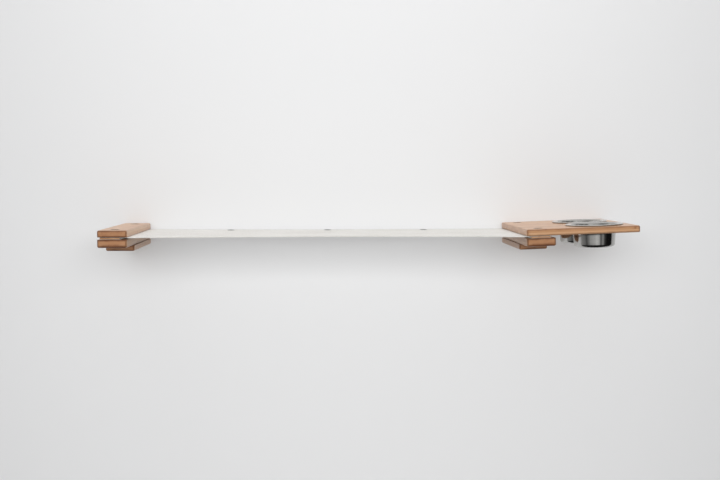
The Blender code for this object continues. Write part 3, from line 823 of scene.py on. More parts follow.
def new_material(name: str) -> tuple[Material, NodeSheet, Node]:
    """Starts a material.

    Args:
        name: Its name.

    Returns:
        The material, the sheet of its nodes and its Principled shader.
    """
    material = bpy.data.materials.new(name)
    material.use_nodes = True
    return material, NodeSheet(material.node_tree), material.node_tree.nodes["Principled BSDF"]


@dataclass(frozen=True)
class Wear:
    """How a board's edges were darkened by the cutter, and where shade is painted on it.

    An underside_burn_and_shade_share below 1 widens the dark band along the underside, which is painted shade
    under the rounded lower edge as well as burn.
    """

    depth: float = 0.8
    underside_burn_and_shade_share: float = 1.0
    bores: tuple[Vector, ...] = ()
    bore_radius: float = 0.0


@dataclass(frozen=True)
class BambooFinish:
    """Clear lacquer over laminated bamboo, with burnished edges and painted shade along some undersides and in the
    counterbores.
    """

    effects: Effects
    pale: Colour = srgb(212, 178, 142)
    mid: Colour = srgb(190, 144, 104)
    deep: Colour = srgb(150, 100, 64)
    burnt: Colour = srgb(90, 47, 14)
    bore_shade_colour: Colour = srgb(40, 27, 18)
    knuckle: Colour = srgb(128, 82, 48)
    strip: float = 0.0195
    ply: float = 0.0045
    burnish_reach: float = 0.0045
    side_edge_band_share: float = 0.25
    char_depth: float = 0.9
    end_depth: float = 0.55
    roughness: float = 0.5
    lacquer: float = 0.65
    lacquer_roughness: float = 0.3

    def material(self, name: str, placement: Placement, box: tuple[Vector, Vector],
                 grain: Grain, seed: float, burn_and_shade: Wear) -> Material:
        """Builds the material of one board.

        Args:
            name: The board's name.
            placement: The bracket that it belongs to.
            box: The board's corners in the bracket's frame.
            grain: The way that its fibres run.
            seed: Picks its own strips.
            burn_and_shade: How its edges were darkened and where shade is painted, with its counterbores in the
                bracket's frame.

        Returns:
            The material.
        """
        material, sheet, shader = new_material(name + "_bamboo")
        centre = placement.matrix @ ((box[0] + box[1]) / 2)
        turn = Matrix.Rotation(-grain.value, 4, "Z") @ placement.matrix.to_3x3().inverted().to_4x4()
        half = (box[1] - box[0]) / 2
        if grain is Grain.FROM_WALL:
            half = Vector((half.y, half.x, half.z))
        coords = sheet.add("TexCoord")
        centred = sheet.vector("SUBTRACT", coords.outputs["Object"], tuple(centre))
        mapping = sheet.add("Mapping", vector_type="POINT")
        mapping.inputs["Rotation"].default_value = turn.to_euler()
        sheet.feed(mapping.inputs["Vector"], centred)
        local = mapping.outputs["Vector"]
        bamboo = sheet.group(self.effects.bamboo, Vector=local, Strip=self.strip, Ply=self.ply,
                             Seed=seed)
        burnish = sheet.group(self.effects.burnish, Vector=local, Half_Size=tuple(half),
                              Reach=self.burnish_reach, Low_Share=burn_and_shade.underside_burn_and_shade_share)
        along = turn.inverted().to_3x3() @ Vector((1, 0, 0))
        facing = sheet.math("ABSOLUTE", sheet.vector(
            "DOT_PRODUCT", coords.outputs["Normal"], tuple(along)))
        end = sheet.step(facing, 0.55, 0.92)
        tone = bamboo.outputs["Tone"]
        light_part = sheet.mix(sheet.step(tone, 0.45, 0.95), self.mid, self.pale)
        face = sheet.mix(sheet.step(tone, 0.05, 0.5, 1.0, 0.0), light_part, self.deep)
        face = sheet.mix(bamboo.outputs["Dark"], face, self.knuckle)
        cut = sheet.mix(sheet.math("MULTIPLY", bamboo.outputs["Pores"], 0.6), self.deep, self.burnt)
        face = sheet.mix(sheet.math("MULTIPLY", end, self.end_depth), face, cut)
        _, from_wall, _ = sheet.split(coords.outputs["Normal"])
        outline = sheet.step(sheet.math("ABSOLUTE", from_wall), 0.1, 0.5, self.side_edge_band_share, 1.0)
        # The edge band darkens towards burnt: burn along the edges, and painted shade under the lower edge where
        # the underside share is below 1.
        edge = sheet.math("MULTIPLY", burnish.outputs["Mask"],
                          sheet.math("MULTIPLY", outline, burn_and_shade.depth))
        colour = sheet.mix(edge, face, self.burnt)
        coat = self.lacquer
        # Each counterbore and a ring around it are painted dark and lose their lacquer: painted shade in the
        # recess.
        for bore in burn_and_shade.bores:
            middle = turn.to_3x3() @ (placement.matrix @ bore - centre)
            char = sheet.group(self.effects.char, Vector=local, Centre=tuple(middle),
                               Radius=burn_and_shade.bore_radius)
            colour = sheet.mix(sheet.math("MULTIPLY", char.outputs["Mask"], self.char_depth),
                               colour, self.bore_shade_colour)
            coat = sheet.math("MULTIPLY", coat, sheet.math(
                "SUBTRACT", 1.0, char.outputs["Mask"]))
        sheet.feed(shader.inputs["Base Color"], colour)
        sheet.feed(shader.inputs["Coat Weight"], coat)
        sheet.feed(shader.inputs["Roughness"], sheet.math(
            "MULTIPLY_ADD", bamboo.outputs["Height"], 0.16, self.roughness - 0.1))
        sheet.feed(shader.inputs["Normal"], sheet.bump(bamboo.outputs["Height"], 0.35, 0.00012))
        shader.inputs["IOR"].default_value = 1.47
        shader.inputs["Coat Roughness"].default_value = self.lacquer_roughness
        return material


@dataclass(frozen=True)
class CanvasFinish:
    """Heavy natural white cotton canvas, read from the cloth's own UV map in metres."""

    effects: Effects
    light: Colour = srgb(231, 229, 226)
    dark: Colour = srgb(208, 205, 199)
    fleck: Colour = srgb(176, 158, 126)
    pitch: float = 0.00085

    def material(self, name: str) -> Material:
        """Builds the material.

        Args:
            name: Its name.

        Returns:
            The material.
        """
        material, sheet, shader = new_material(name)
        uv = sheet.add("UVMap", uv_map="cloth")
        weave = sheet.group(self.effects.weave, Vector=uv.outputs["UV"], Pitch=self.pitch)
        coords = sheet.add("TexCoord")
        cloud = sheet.noise(coords.outputs["Object"], 9.0, 3.0)
        tone = sheet.math("ADD", sheet.math("MULTIPLY", weave.outputs["Tone"], 0.7),
                          sheet.math("MULTIPLY", cloud, 0.3))
        cloth = sheet.mix(sheet.step(tone, 0.3, 0.7), self.dark, self.light)
        specks = sheet.step(sheet.noise(sheet.stretched(coords.outputs["Object"], (420, 420, 420)),
                                        1.0, 2.0), 0.70, 0.76)
        cloth = sheet.mix(sheet.math("MULTIPLY", specks, 0.25), cloth, self.fleck)
        # The weave's gaps are mixed towards the dark tone: painted shade between the threads.
        sheet.feed(shader.inputs["Base Color"], sheet.mix(
            sheet.math("MULTIPLY", weave.outputs["Gap"], 0.45), cloth, self.dark))
        shader.inputs["Roughness"].default_value = 0.92
        shader.inputs["Sheen Weight"].default_value = 0.15
        shader.inputs["Specular IOR Level"].default_value = 0.2
        sheet.feed(shader.inputs["Normal"], sheet.bump(weave.outputs["Height"], 0.6, 0.00022))
        return material


@dataclass(frozen=True)
class ThreadFinish:
    """Twisted cotton sewing thread."""

    colour: Colour = srgb(232, 229, 219)
    shade: Colour = srgb(198, 192, 178)

    def material(self, name: str) -> Material:
        """Builds the material.

        Args:
            name: Its name.

        Returns:
            The material.
        """
        material, sheet, shader = new_material(name)
        coords = sheet.add("TexCoord")
        twist = sheet.noise(sheet.stretched(coords.outputs["Object"], (1400, 1400, 1400)), 1.0, 2.0)
        sheet.feed(shader.inputs["Base Color"], sheet.mix(twist, self.colour, self.shade))
        shader.inputs["Roughness"].default_value = 0.8
        sheet.feed(shader.inputs["Normal"], sheet.bump(twist, 0.4, 0.0001))
        return material


@dataclass(frozen=True)
class MetalFinish:
    """Bare or plated metal with fine marks."""

    effects: Effects
    colour: Colour
    shade: Colour
    roughness: float
    mark_depth: float = 0.08
    mark_scale: float = 900.0
    metallic: float = 1.0
    bump: float = 0.00002

    def material(self, name: str, centre: Sequence[float] = (0.0, 0.0, 0.0),
                 ringed: bool = False) -> Material:
        """Builds the material.

        Args:
            name: Its name.
            centre: The middle of a turned piece, where its marks run round it.
            ringed: Whether the marks run round the piece.

        Returns:
            The material.
        """
        material, sheet, shader = new_material(name)
        coords = sheet.add("TexCoord")
        place = sheet.vector("SUBTRACT", coords.outputs["Object"], tuple(centre))
        if ringed:
            x, y, z = sheet.split(place)
            reach = sheet.vector("LENGTH", sheet.join(x, y, 0.0))
            angle = sheet.math("ARCTAN2", y, x)
            turn = sheet.math("MULTIPLY", angle, 0.002)
            place = sheet.join(turn, reach, z)
        marks = sheet.group(self.effects.scratches, Vector=place, Scale=self.mark_scale)
        sheet.feed(shader.inputs["Base Color"], sheet.mix(
            sheet.step(marks.outputs["Marks"], 0.35, 0.7), self.colour, self.shade))
        sheet.feed(shader.inputs["Roughness"], sheet.math(
            "MULTIPLY_ADD", marks.outputs["Marks"], self.mark_depth,
            self.roughness - self.mark_depth / 2))
        shader.inputs["Metallic"].default_value = self.metallic
        sheet.feed(shader.inputs["Normal"], sheet.bump(marks.outputs["Height"], 0.25, self.bump))
        return material


@dataclass(frozen=True)
class Finishes:
    """Every finish of the feeder."""

    bamboo: BambooFinish
    canvas: Material
    thread: Material
    zinc: Material
    black: Material
    nickel: Material
    steel: MetalFinish


def make_finishes() -> Finishes:
    """Builds the finishes once.

    Returns:
        All of them.
    """
    effects = Effects()
    zinc = MetalFinish(effects, srgb(176, 176, 172), srgb(140, 140, 138), 0.32, 0.14)
    black = MetalFinish(effects, srgb(44, 44, 46), srgb(58, 58, 60), 0.5, 0.12, 700.0, 0.0, 0.00006)
    nickel = MetalFinish(effects, srgb(150, 150, 146), srgb(112, 110, 104), 0.3, 0.16)
    steel = MetalFinish(effects, srgb(190, 189, 186), srgb(174, 173, 170), 0.1, 0.06, 2600.0)
    return Finishes(BambooFinish(effects), CanvasFinish(effects).material("white_canvas"),
                    ThreadFinish().material("cotton_thread"), zinc.material("zinc_plate"),
                    black.material("black_coat"), nickel.material("nickel_plate"), steel)


# Boards

@dataclass
class BoardShaper:
    """Rounds a board's edges and opens its holes."""

    plan_corner: float = 0.005
    roundover: float = 0.003
    eased: float = 0.0006
    corner_steps: int = 8
    round_steps: int = 6
    eased_steps: int = 2
    hole_sides: int = 48

    def board(self, box: tuple[Vector, Vector], top: float, bottom: float) -> BMesh:
        """Makes a board with rounded corners and edges.

        Args:
            box: Its corners.
            top: Rounding of its upper edges.
            bottom: Rounding of its lower edges.

        Returns:
            The shape.
        """
        shape = block(*box)
        round_edges(shape, edges_along(shape, 2), self.plan_corner, self.corner_steps)
        for height, width in ((box[1].z, top), (box[0].z, bottom)):
            steps = self.eased_steps if width <= self.eased else self.round_steps
            round_edges(shape, edges_at(shape, 2, height), width, steps)
        return shape

    def bore(self, x: float, y: float, radius: float, low: float, high: float) -> BMesh:
        """Makes the cutter of a plain round hole.

        Args:
            x: Its place along the wall.
            y: Its place from the wall.
            radius: Its radius.
            low: Where it starts.
            high: Where it ends.

        Returns:
            The cutter.
        """
        profile = [(0.0, low), (radius, low), (radius, high), (0.0, high)]
        return moved(turned(profile, self.hole_sides), x, y)

    def counterbore(self, x: float, y: float, radii: tuple[float, float], floor: float,
                    mouth: float, far: float) -> BMesh:
        """Makes the cutter of a bolt's hole with a wide pocket that has an eased mouth.

        Args:
            x: Its place along the wall.
            y: Its place from the wall.
            radii: The radii of the hole and of the pocket.
            floor: The height of the pocket's flat bottom.
            mouth: The height of its mouth, above or below the floor.
            far: The height of the board's other face, where the hole ends.

        Returns:
            The cutter.
        """
        hole, pocket = radii
        way = 1.0 if mouth > floor else -1.0
        # The lip ends just inside the board and the cutter flares on through its face
        lip = [(pocket + self.eased * (1 - math.cos(math.radians(a))),
                mouth - way * self.eased * (1 - math.sin(math.radians(a))))
               for a in (0, 30, 60, 84)]
        outside = lip[-1][1] + way * OVERCUT
        profile = [(0.0, far - way * OVERCUT), (hole, far - way * OVERCUT), (hole, floor),
                   (pocket, floor), *lip, (lip[-1][0] + OVERCUT, outside), (0.0, outside)]
        return moved(turned(profile, self.hole_sides), x, y)


@dataclass
class Fasteners:
    """Sizes of a bracket's bolts and screws, and where they stand."""

    bolt_radius: float = 0.003
    head_radius: float = 0.005
    head_height: float = 0.006
    head_crown: float = 0.0006
    key_width: float = 0.005
    key_depth: float = 0.003
    washer_radius: float = 0.006
    washer_play: float = 0.00075
    nut_width: float = 0.010
    screw_radius: float = 0.002
    screw_head: float = 0.004
    screw_point: float = 0.004
    slot_width: float = 0.0012
    slot_depth: float = 0.0012
    grub_radius: float = 0.0025
    grub_key: float = 0.0025
    grub_key_depth: float = 0.002
    sides: int = 48

    @property
    def hole_radius(self) -> float:
        """Returns the radius of the holes for the bolts."""
        return self.bolt_radius + FIT

    @property
    def pocket_radius(self) -> float:
        """Returns the radius of the counterbores and nut pockets."""
        return self.washer_radius + self.washer_play

    def bolt(self, low: float, high: float) -> BMesh:
        """Makes a socket head cap screw.

        Args:
            low: The height of its tip.
            high: The height of its head's top.

        Returns:
            The shape.
        """
        seat = high - self.head_height
        edge = self.bolt_radius * 0.13
        crown = self.head_crown
        profile = [(0.0, low), (self.bolt_radius - edge, low), (self.bolt_radius, low + edge),
                   (self.bolt_radius, seat), (self.head_radius - edge / 2, seat),
                   (self.head_radius, seat + edge / 2)]
        profile += arc((self.head_radius - crown, high - crown), crown, 0, 90, 4)
        profile.append((0.0, high))
        key = prism(self.key_width, high - self.key_depth, high + OVERCUT)
        return carved(turned(profile, self.sides), [key])

    def washer(self, low: float, high: float) -> BMesh:
        """Makes a flat washer with eased edges.

        Args:
            low: The height of its underside.
            high: The height of its top.

        Returns:
            The shape.
        """
        bore = self.hole_radius
        edge = (high - low) * 0.15
        rim = self.washer_radius
        profile = [(bore, low), (rim - edge, low), (rim, low + edge), (rim, high - edge),
                   (rim - edge, high), (bore, high)]
        return turned(profile, self.sides)

    def nut(self, low: float, high: float) -> BMesh:
        """Makes a hexagonal nut with chamfered corners.

        Args:
            low: The height of its underside.
            high: The height of its top.

        Returns:
            The shape.
        """
        corner = self.nut_width / math.sqrt(3)
        flat = self.nut_width / 2
        fall = (corner - flat) * 0.7
        cone = [(0.0, low), (flat * 0.96, low), (corner * 1.02, low + fall),
                (corner * 1.02, high - fall), (flat * 0.96, high), (0.0, high)]
        shape = carved(prism(self.nut_width, low - OVERCUT / 10, high + OVERCUT / 10),
                       [turned(cone, self.sides)], "INTERSECT")
        bore = self.hole_radius
        hole = [(0.0, low - OVERCUT), (bore, low - OVERCUT), (bore, high + OVERCUT),
                (0.0, high + OVERCUT)]
        return carved(shape, [turned(hole, self.sides)])

    def wood_screw(self, low: float, high: float) -> BMesh:
        """Makes a countersunk wood screw, driven in from below.

        Args:
            low: The height of its head's face.
            high: The height of its point.

        Returns:
            The shape.
        """
        neck = low + self.screw_head - self.screw_radius
        edge = 0.0003
        profile = [(0.0, low), (self.screw_head - edge, low), (self.screw_head, low + edge),
                   (self.screw_radius, neck + edge), (self.screw_radius, high - self.screw_point),
                   (edge, high), (0.0, high)]
        reach = self.screw_head + OVERCUT
        slot = block((-reach, -self.slot_width / 2, low - OVERCUT),
                     (reach, self.slot_width / 2, low + self.slot_depth))
        return carved(turned(profile, self.sides), [slot])

    def grub(self, low: float, high: float) -> BMesh:
        """Makes a socket grub screw.

        Args:
            low: The height of its socket end.
            high: The height of its flat point.

        Returns:
            The shape.
        """
        edge = self.grub_radius * 0.12
        radius = self.grub_radius
        profile = [(0.0, low), (radius - edge, low), (radius, low + edge), (radius, high - edge),
                   (radius - edge, high), (0.0, high)]
        key = prism(self.grub_key, low - OVERCUT, low + self.grub_key_depth)
        return carved(turned(profile, self.sides), [key])


@dataclass
class Bracket:
    """One bracket: its plates, batten, wall support and fasteners."""

    side: Side
    placement: Placement
    finishes: Finishes
    shaper: BoardShaper
    fasteners: Fasteners
    seed: float
    plate_thickness: float = 0.003
    plate_corner: float = 0.003
    plate_edge: float = 0.0003
    rod_radius: float = 0.004
    rod_chamfer: float = 0.0008
    rod_pitch: float = 0.032
    weld: float = 0.0012
    weld_steps: int = 4
    bore_spare: float = 0.0005
    wall_screw_radius: float = 0.0026
    wall_screw_head: float = 0.0048
    wall_screw_margin: float = 0.0007
    batten_edge: float = 0.0004
    batten_end_depth: float = 0.15

    def node(self, name: str) -> str:
        """Returns the full name of one of the bracket's nodes."""
        return f"{self.side.word}_{name}"

    def box(self, name: str) -> tuple[Vector, Vector]:
        """Returns the corners of one of the bracket's nodes in its own frame."""
        return self.placement.box(self.node(name))

    def middle(self, name: str) -> Vector:
        """Returns the middle of one of the bracket's nodes in its own frame."""
        low, high = self.box(name)
        return (low + high) / 2

    def add(self, name: str, shape: BMesh, material: Material, slot: str,
            even_normals: bool = False) -> Object:
        """Puts a shape in place of the node of the same name.

        Args:
            name: The node's name without its side.
            shape: The shape in the bracket's own frame.
            material: Its material.
            slot: Its slot name, which is kept in its holding and not used further.
            even_normals: Whether its large flat faces keep their shading flat.

        Returns:
            The piece.
        """
        full = self.node(name)
        return finish_piece(full + "_finished", self.placement.put(shape), material,
                            Holding(slot, nodes=(full,)), even_normals)

    def bolt_names(self) -> tuple[str, str]:
        """Returns the names of the bracket's two clamp bolts."""
        return ("front", "rear")

    def wood(self, name: str, box: tuple[Vector, Vector], grain: Grain, extra: float,
             burn_and_shade: Wear) -> Material:
        """Builds the bamboo of one of the bracket's boards.

        Args:
            name: The board's name.
            box: Its corners.
            grain: The way that its fibres run.
            extra: Sets it apart from the bracket's other boards.
            burn_and_shade: How its edges were darkened and where shade is painted.

        Returns:
            The material.
        """
        return self.finishes.bamboo.material(self.node(name), self.placement, box, grain,
                                             self.seed + extra, burn_and_shade)

    def bored(self, depth: float) -> Wear:
        """Returns the edge burn and painted shade of a board that holds the bolts' heads, with its edge band's
        depth.
        """
        bores = tuple(self.middle(f"{bolt}_bolt") for bolt in self.bolt_names())
        return Wear(depth, bores=bores, bore_radius=self.fasteners.pocket_radius)

    def bolt_hole(self, name: str, low: float, high: float) -> BMesh:
        """Makes the cutter of a bolt's plain hole.

        Args:
            name: The bolt's name.
            low: The board's underside.
            high: The board's top.

        Returns:
            The cutter.
        """
        return self.shaper.bore(0.0, self.middle(f"{name}_bolt").y, self.fasteners.hole_radius,
                                low - OVERCUT, high + OVERCUT)

    def head_bores(self, low: float, high: float) -> list[BMesh]:
        """Makes the cutters of the two bolts' holes with the pockets of their heads.

        Args:
            low: The board's underside.
            high: The board's top.

        Returns:
            The cutters.
        """
        radii = (self.fasteners.hole_radius, self.fasteners.pocket_radius)
        return [self.shaper.counterbore(0.0, self.middle(f"{name}_bolt").y, radii,
                                        self.box(f"{name}_head_washer")[0].z - FIT, high, low)
                for name in self.bolt_names()]

    def nut_bore(self, name: str, low: float, high: float) -> BMesh:
        """Makes the cutter of a bolt's hole with the pocket of its nut.

        Args:
            name: The bolt's name.
            low: The board's underside, with the pocket's mouth.
            high: The board's top.

        Returns:
            The cutter.
        """
        radii = (self.fasteners.hole_radius, self.fasteners.pocket_radius)
        return self.shaper.counterbore(0.0, self.middle(f"{name}_bolt").y, radii,
                                       self.box(f"{name}_nut_washer")[1].z + FIT, low, high)

    def wall_recess(self) -> BMesh:
        """Makes the cutter that lets the wall plate into the back ends of the boards.

        Returns:
            The cutter.
        """
        low, high = self.plate_box()
        shape = block((low.x - FIT, low.y - FIT, low.z - FIT),
                      (high.x + FIT, high.y + OVERCUT, high.z + FIT))
        round_edges(shape, edges_along(shape, 1), self.plate_corner, 4)
        return shape

    def plate_box(self) -> tuple[Vector, Vector]:
        """Works out the corners of the wall support's flat plate, without its rods.

        Returns:
            Its lowest and highest corners.
        """
        low, high = self.box("wall_support")
        low.y = -self.plate_thickness
        return low, high

    def rod_places(self) -> tuple[float, float]:
        """Returns the rods' places along the wall."""
        return (-self.rod_pitch / 2, self.rod_pitch / 2)

    def rod_level(self) -> float:
        """Returns the height of the rods, which run in the middle of the support plate."""
        return self.middle("support_plate").z

    def screw_places(self) -> list[tuple[int, Vector]]:
        """Returns the number and middle of each wood screw."""
        return [(number, self.middle(f"base_screw_{number}")) for number in (1, 2, 3, 4)]

    def locking_places(self) -> list[tuple[int, Vector]]:
        """Returns the number and middle of each locking screw."""
        return [(number, self.middle(f"locking_screw_{number}")) for number in (1, 2)]

    def rod_bores(self) -> list[BMesh]:
        """Makes the cutters of the two bores that slide over the rods, with eased mouths.

        Returns:
            The cutters.
        """
        radius = self.rod_radius + FIT
        mouth = self.plate_thickness + FIT
        end = self.bore_spare - self.box("wall_support")[0].y
        start = mouth - self.weld
        profile = [(0.0, start), (radius + 2 * self.weld, start), (radius, mouth + self.weld),
                   (radius, end), (0.0, end)]
        return [moved(laid_back(turned(profile, self.shaper.hole_sides)), x, 0.0,
                      self.rod_level()) for x in self.rod_places()]

    def build_support_plate(self) -> None:
        """Builds the plate that carries the canvas hem and slides on the rods."""
        low, high = self.box("support_plate")
        shape = self.shaper.board((low, high), self.shaper.eased, self.shaper.roundover)
        cutters = [self.nut_bore("front", low.z, high.z), self.bolt_hole("rear", low.z, high.z),
                   self.wall_recess(), *self.rod_bores()]
        for _, place in self.locking_places():
            cutters.append(self.shaper.bore(place.x, place.y, self.fasteners.grub_radius + FIT,
                                            low.z - OVERCUT, self.rod_level()))
        for number, place in self.screw_places():
            tip = self.box(f"base_screw_{number}")[1].z
            cutters.append(self.shaper.bore(place.x, place.y, self.fasteners.screw_radius + FIT,
                                            low.z - OVERCUT, tip + self.bore_spare))
        shape = carved(shape, cutters)
        # The support plate's wider underside band is painted shade under its rounded lower edge as well as burn.
        self.add("support_plate", shape,
                 self.wood("support", (low, high), Grain.FROM_WALL, 3.0,
                           Wear(0.95, underside_burn_and_shade_share=0.6)), "bamboo", True)

    def build_base_plate(self) -> None:
        """Builds the lowest plate, with its nut pocket and screw holes."""
        low, high = self.box("base_plate")
        shape = self.shaper.board((low, high), self.shaper.eased, self.shaper.roundover)
        cutters = [self.nut_bore("rear", low.z, high.z), self.wall_recess()]
        for _, place in self.locking_places():
            cutters.append(self.shaper.bore(place.x, place.y, self.fasteners.grub_radius + FIT,
                                            low.z - OVERCUT, high.z + OVERCUT))
        head = self.fasteners.screw_head
        shank = self.fasteners.screw_radius + FIT
        for _, place in self.screw_places():
            profile = [(0.0, low.z - OVERCUT), (head + FIT + OVERCUT, low.z - OVERCUT),
                       (shank, low.z + head - self.fasteners.screw_radius),
                       (shank, high.z + OVERCUT), (0.0, high.z + OVERCUT)]
            cutters.append(moved(turned(profile, self.shaper.hole_sides), place.x, place.y))
        shape = carved(shape, cutters)
        self.add("base_plate", shape,
                 self.wood("base", (low, high), Grain.FROM_WALL, 5.0, Wear()), "bamboo", True)

    def build_batten(self) -> None:
        """Builds the flat batten inside the canvas hem."""
        low, high = self.box("hem_batten")
        shape = block(low, high)
        round_edges(shape, edges_along(shape, 1), self.batten_edge, 2)
        shape = carved(shape, [self.bolt_hole(name, low.z, high.z) for name in self.bolt_names()])
        raw = replace(self.finishes.bamboo, end_depth=self.batten_end_depth, lacquer=0.0)
        wood = raw.material(self.node("batten"), self.placement, (low, high), Grain.FROM_WALL,
                            self.seed + 7.0, Wear(0.0))
        self.add("hem_batten", shape, wood, "batten_wood", True)

    def build_wall_support(self) -> None:
        """Builds the steel plate with its rods and screw holes."""
        low, high = self.plate_box()
        shape = block(low, high)
        round_edges(shape, edges_along(shape, 1), self.plate_corner, 6)
        round_edges(shape, edges_at(shape, 1, low.y), self.plate_edge, 2)
        tip = self.box("wall_support")[0].y
        chamfer = self.rod_chamfer
        rods = []
        for x in self.rod_places():
            profile = [(0.0, self.plate_thickness / 4),
                       (self.rod_radius + self.weld, self.plate_thickness / 4),
                       (self.rod_radius + self.weld, self.plate_thickness)]
            profile += arc((self.rod_radius + self.weld, self.plate_thickness + self.weld),
                           self.weld, -90, -180, self.weld_steps)[1:]
            profile += [(self.rod_radius, -tip - chamfer), (self.rod_radius - chamfer, -tip),
                        (0.0, -tip)]
            rods.append(moved(laid_back(turned(profile, self.fasteners.sides)), x, 0.0,
                              self.rod_level()))
        shape = carved(shape, rods, "UNION")
        pitch = (high.z - low.z) - 2 * (self.wall_screw_head + self.wall_screw_margin)
        sink = self.wall_screw_head - self.wall_screw_radius
        holes = []
        for z in (-pitch / 2, pitch / 2):
            profile = [(0.0, -OVERCUT), (self.wall_screw_radius, -OVERCUT),
                       (self.wall_screw_radius, self.plate_thickness - sink),
                       (self.wall_screw_head + OVERCUT, self.plate_thickness + OVERCUT),
                       (0.0, self.plate_thickness + OVERCUT)]
            holes.append(moved(laid_back(turned(profile, self.fasteners.sides)), 0.0, 0.0, z))
        self.add("wall_support", carved(shape, holes), self.finishes.black, "wall_steel", True)

    def build_fasteners(self) -> None:
        """Builds the bolts with their washers and nuts, and the screws."""
        zinc = self.finishes.zinc
        kit = self.fasteners
        makers = (("bolt", kit.bolt), ("head_washer", kit.washer), ("nut_washer", kit.washer),
                  ("nut", kit.nut))
        for bolt in self.bolt_names():
            for part, maker in makers:
                name = f"{bolt}_{part}"
                low, high = self.box(name)
                place = self.middle(f"{bolt}_bolt")
                shape = moved(maker(low.z, high.z), place.x, place.y)
                coat = self.finishes.black if part == "bolt" else zinc
                self.add(name, shape, coat, "bolt_steel")
        for number, place in self.screw_places():
            name = f"base_screw_{number}"
            low, high = self.box(name)
            self.add(name, moved(kit.wood_screw(low.z, high.z), place.x, place.y), zinc,
                     "screw_steel")
        for number, place in self.locking_places():
            name = f"locking_screw_{number}"
            low, high = self.box(name)
            self.add(name, moved(kit.grub(low.z, high.z), place.x, place.y),
                     self.finishes.black, "wall_steel")

    def build(self) -> None:
        """Builds all that both brackets have."""
        self.build_support_plate()
        self.build_base_plate()
        self.build_batten()
        self.build_wall_support()
        self.build_fasteners()


@dataclass
class ShelfBracket(Bracket):
    """The left bracket, which ends in a plain clamp plate."""

    def build(self) -> None:
        """Builds the bracket and its clamp plate."""
        super().build()
        low, high = self.box("clamp_plate")
        shape = self.shaper.board((low, high), self.shaper.roundover, self.shaper.eased)
        shape = carved(shape, self.head_bores(low.z, high.z))
        self.add("clamp_plate", shape,
                 self.wood("clamp", (low, high), Grain.FROM_WALL, 1.0, self.bored(0.9)),
                 "bamboo", True)


@dataclass
class FeederBracket(Bracket):
    """The right bracket, whose clamp plate is the board that holds the bowls."""

    lower_roundover: float = 0.002
    cutout_radius: float = 0.0475
    cutout_ease: float = 0.0016
    cutout_sides: int = 96
    end_depth: float = 0.2

    def build(self) -> None:
        """Builds the bracket and the feeder board."""
        super().build()
        low, high = self.placement.box("feeder_board")
        shape = self.shaper.board((low, high), self.shaper.roundover, self.lower_roundover)
        cutters = self.head_bores(low.z, high.z)
        for name in ("front_bowl", "rear_bowl"):
            bowl_low, bowl_high = self.placement.box(name)
            middle = (bowl_low + bowl_high) / 2
            cutters.append(moved(self.cutout(low.z, high.z), middle.x, middle.y))
        finish = replace(self.finishes.bamboo, end_depth=self.end_depth)
        wood = finish.material("feeder_board", self.placement, (low, high), Grain.ALONG_WALL,
                               self.seed + 9.0, self.bored(0.6))
        finish_piece("feeder_board_finished", self.placement.put(carved(shape, cutters)), wood,
                     Holding("bamboo", nodes=("feeder_board",)), True)

    def cutout(self, low: float, high: float) -> BMesh:
        """Makes the cutter of a bowl's round cut-out, with rounded mouths.

        Args:
            low: The board's underside.
            high: The board's top.

        Returns:
            The cutter.
        """
        ease = self.cutout_ease
        radius = self.cutout_radius
        lower = [(radius + ease * (1 - math.sin(math.radians(a))),
                  low + ease * (1 - math.cos(math.radians(a)))) for a in (5, 22, 45, 67, 90)]
        lower.insert(0, (lower[0][0] + OVERCUT, lower[0][1] - OVERCUT))
        upper = [(r, high + low - z) for r, z in reversed(lower)]
        profile = [(0.0, lower[0][1]), *lower, *upper, (0.0, upper[-1][1])]
        return turned(profile, self.cutout_sides)


# Canvas

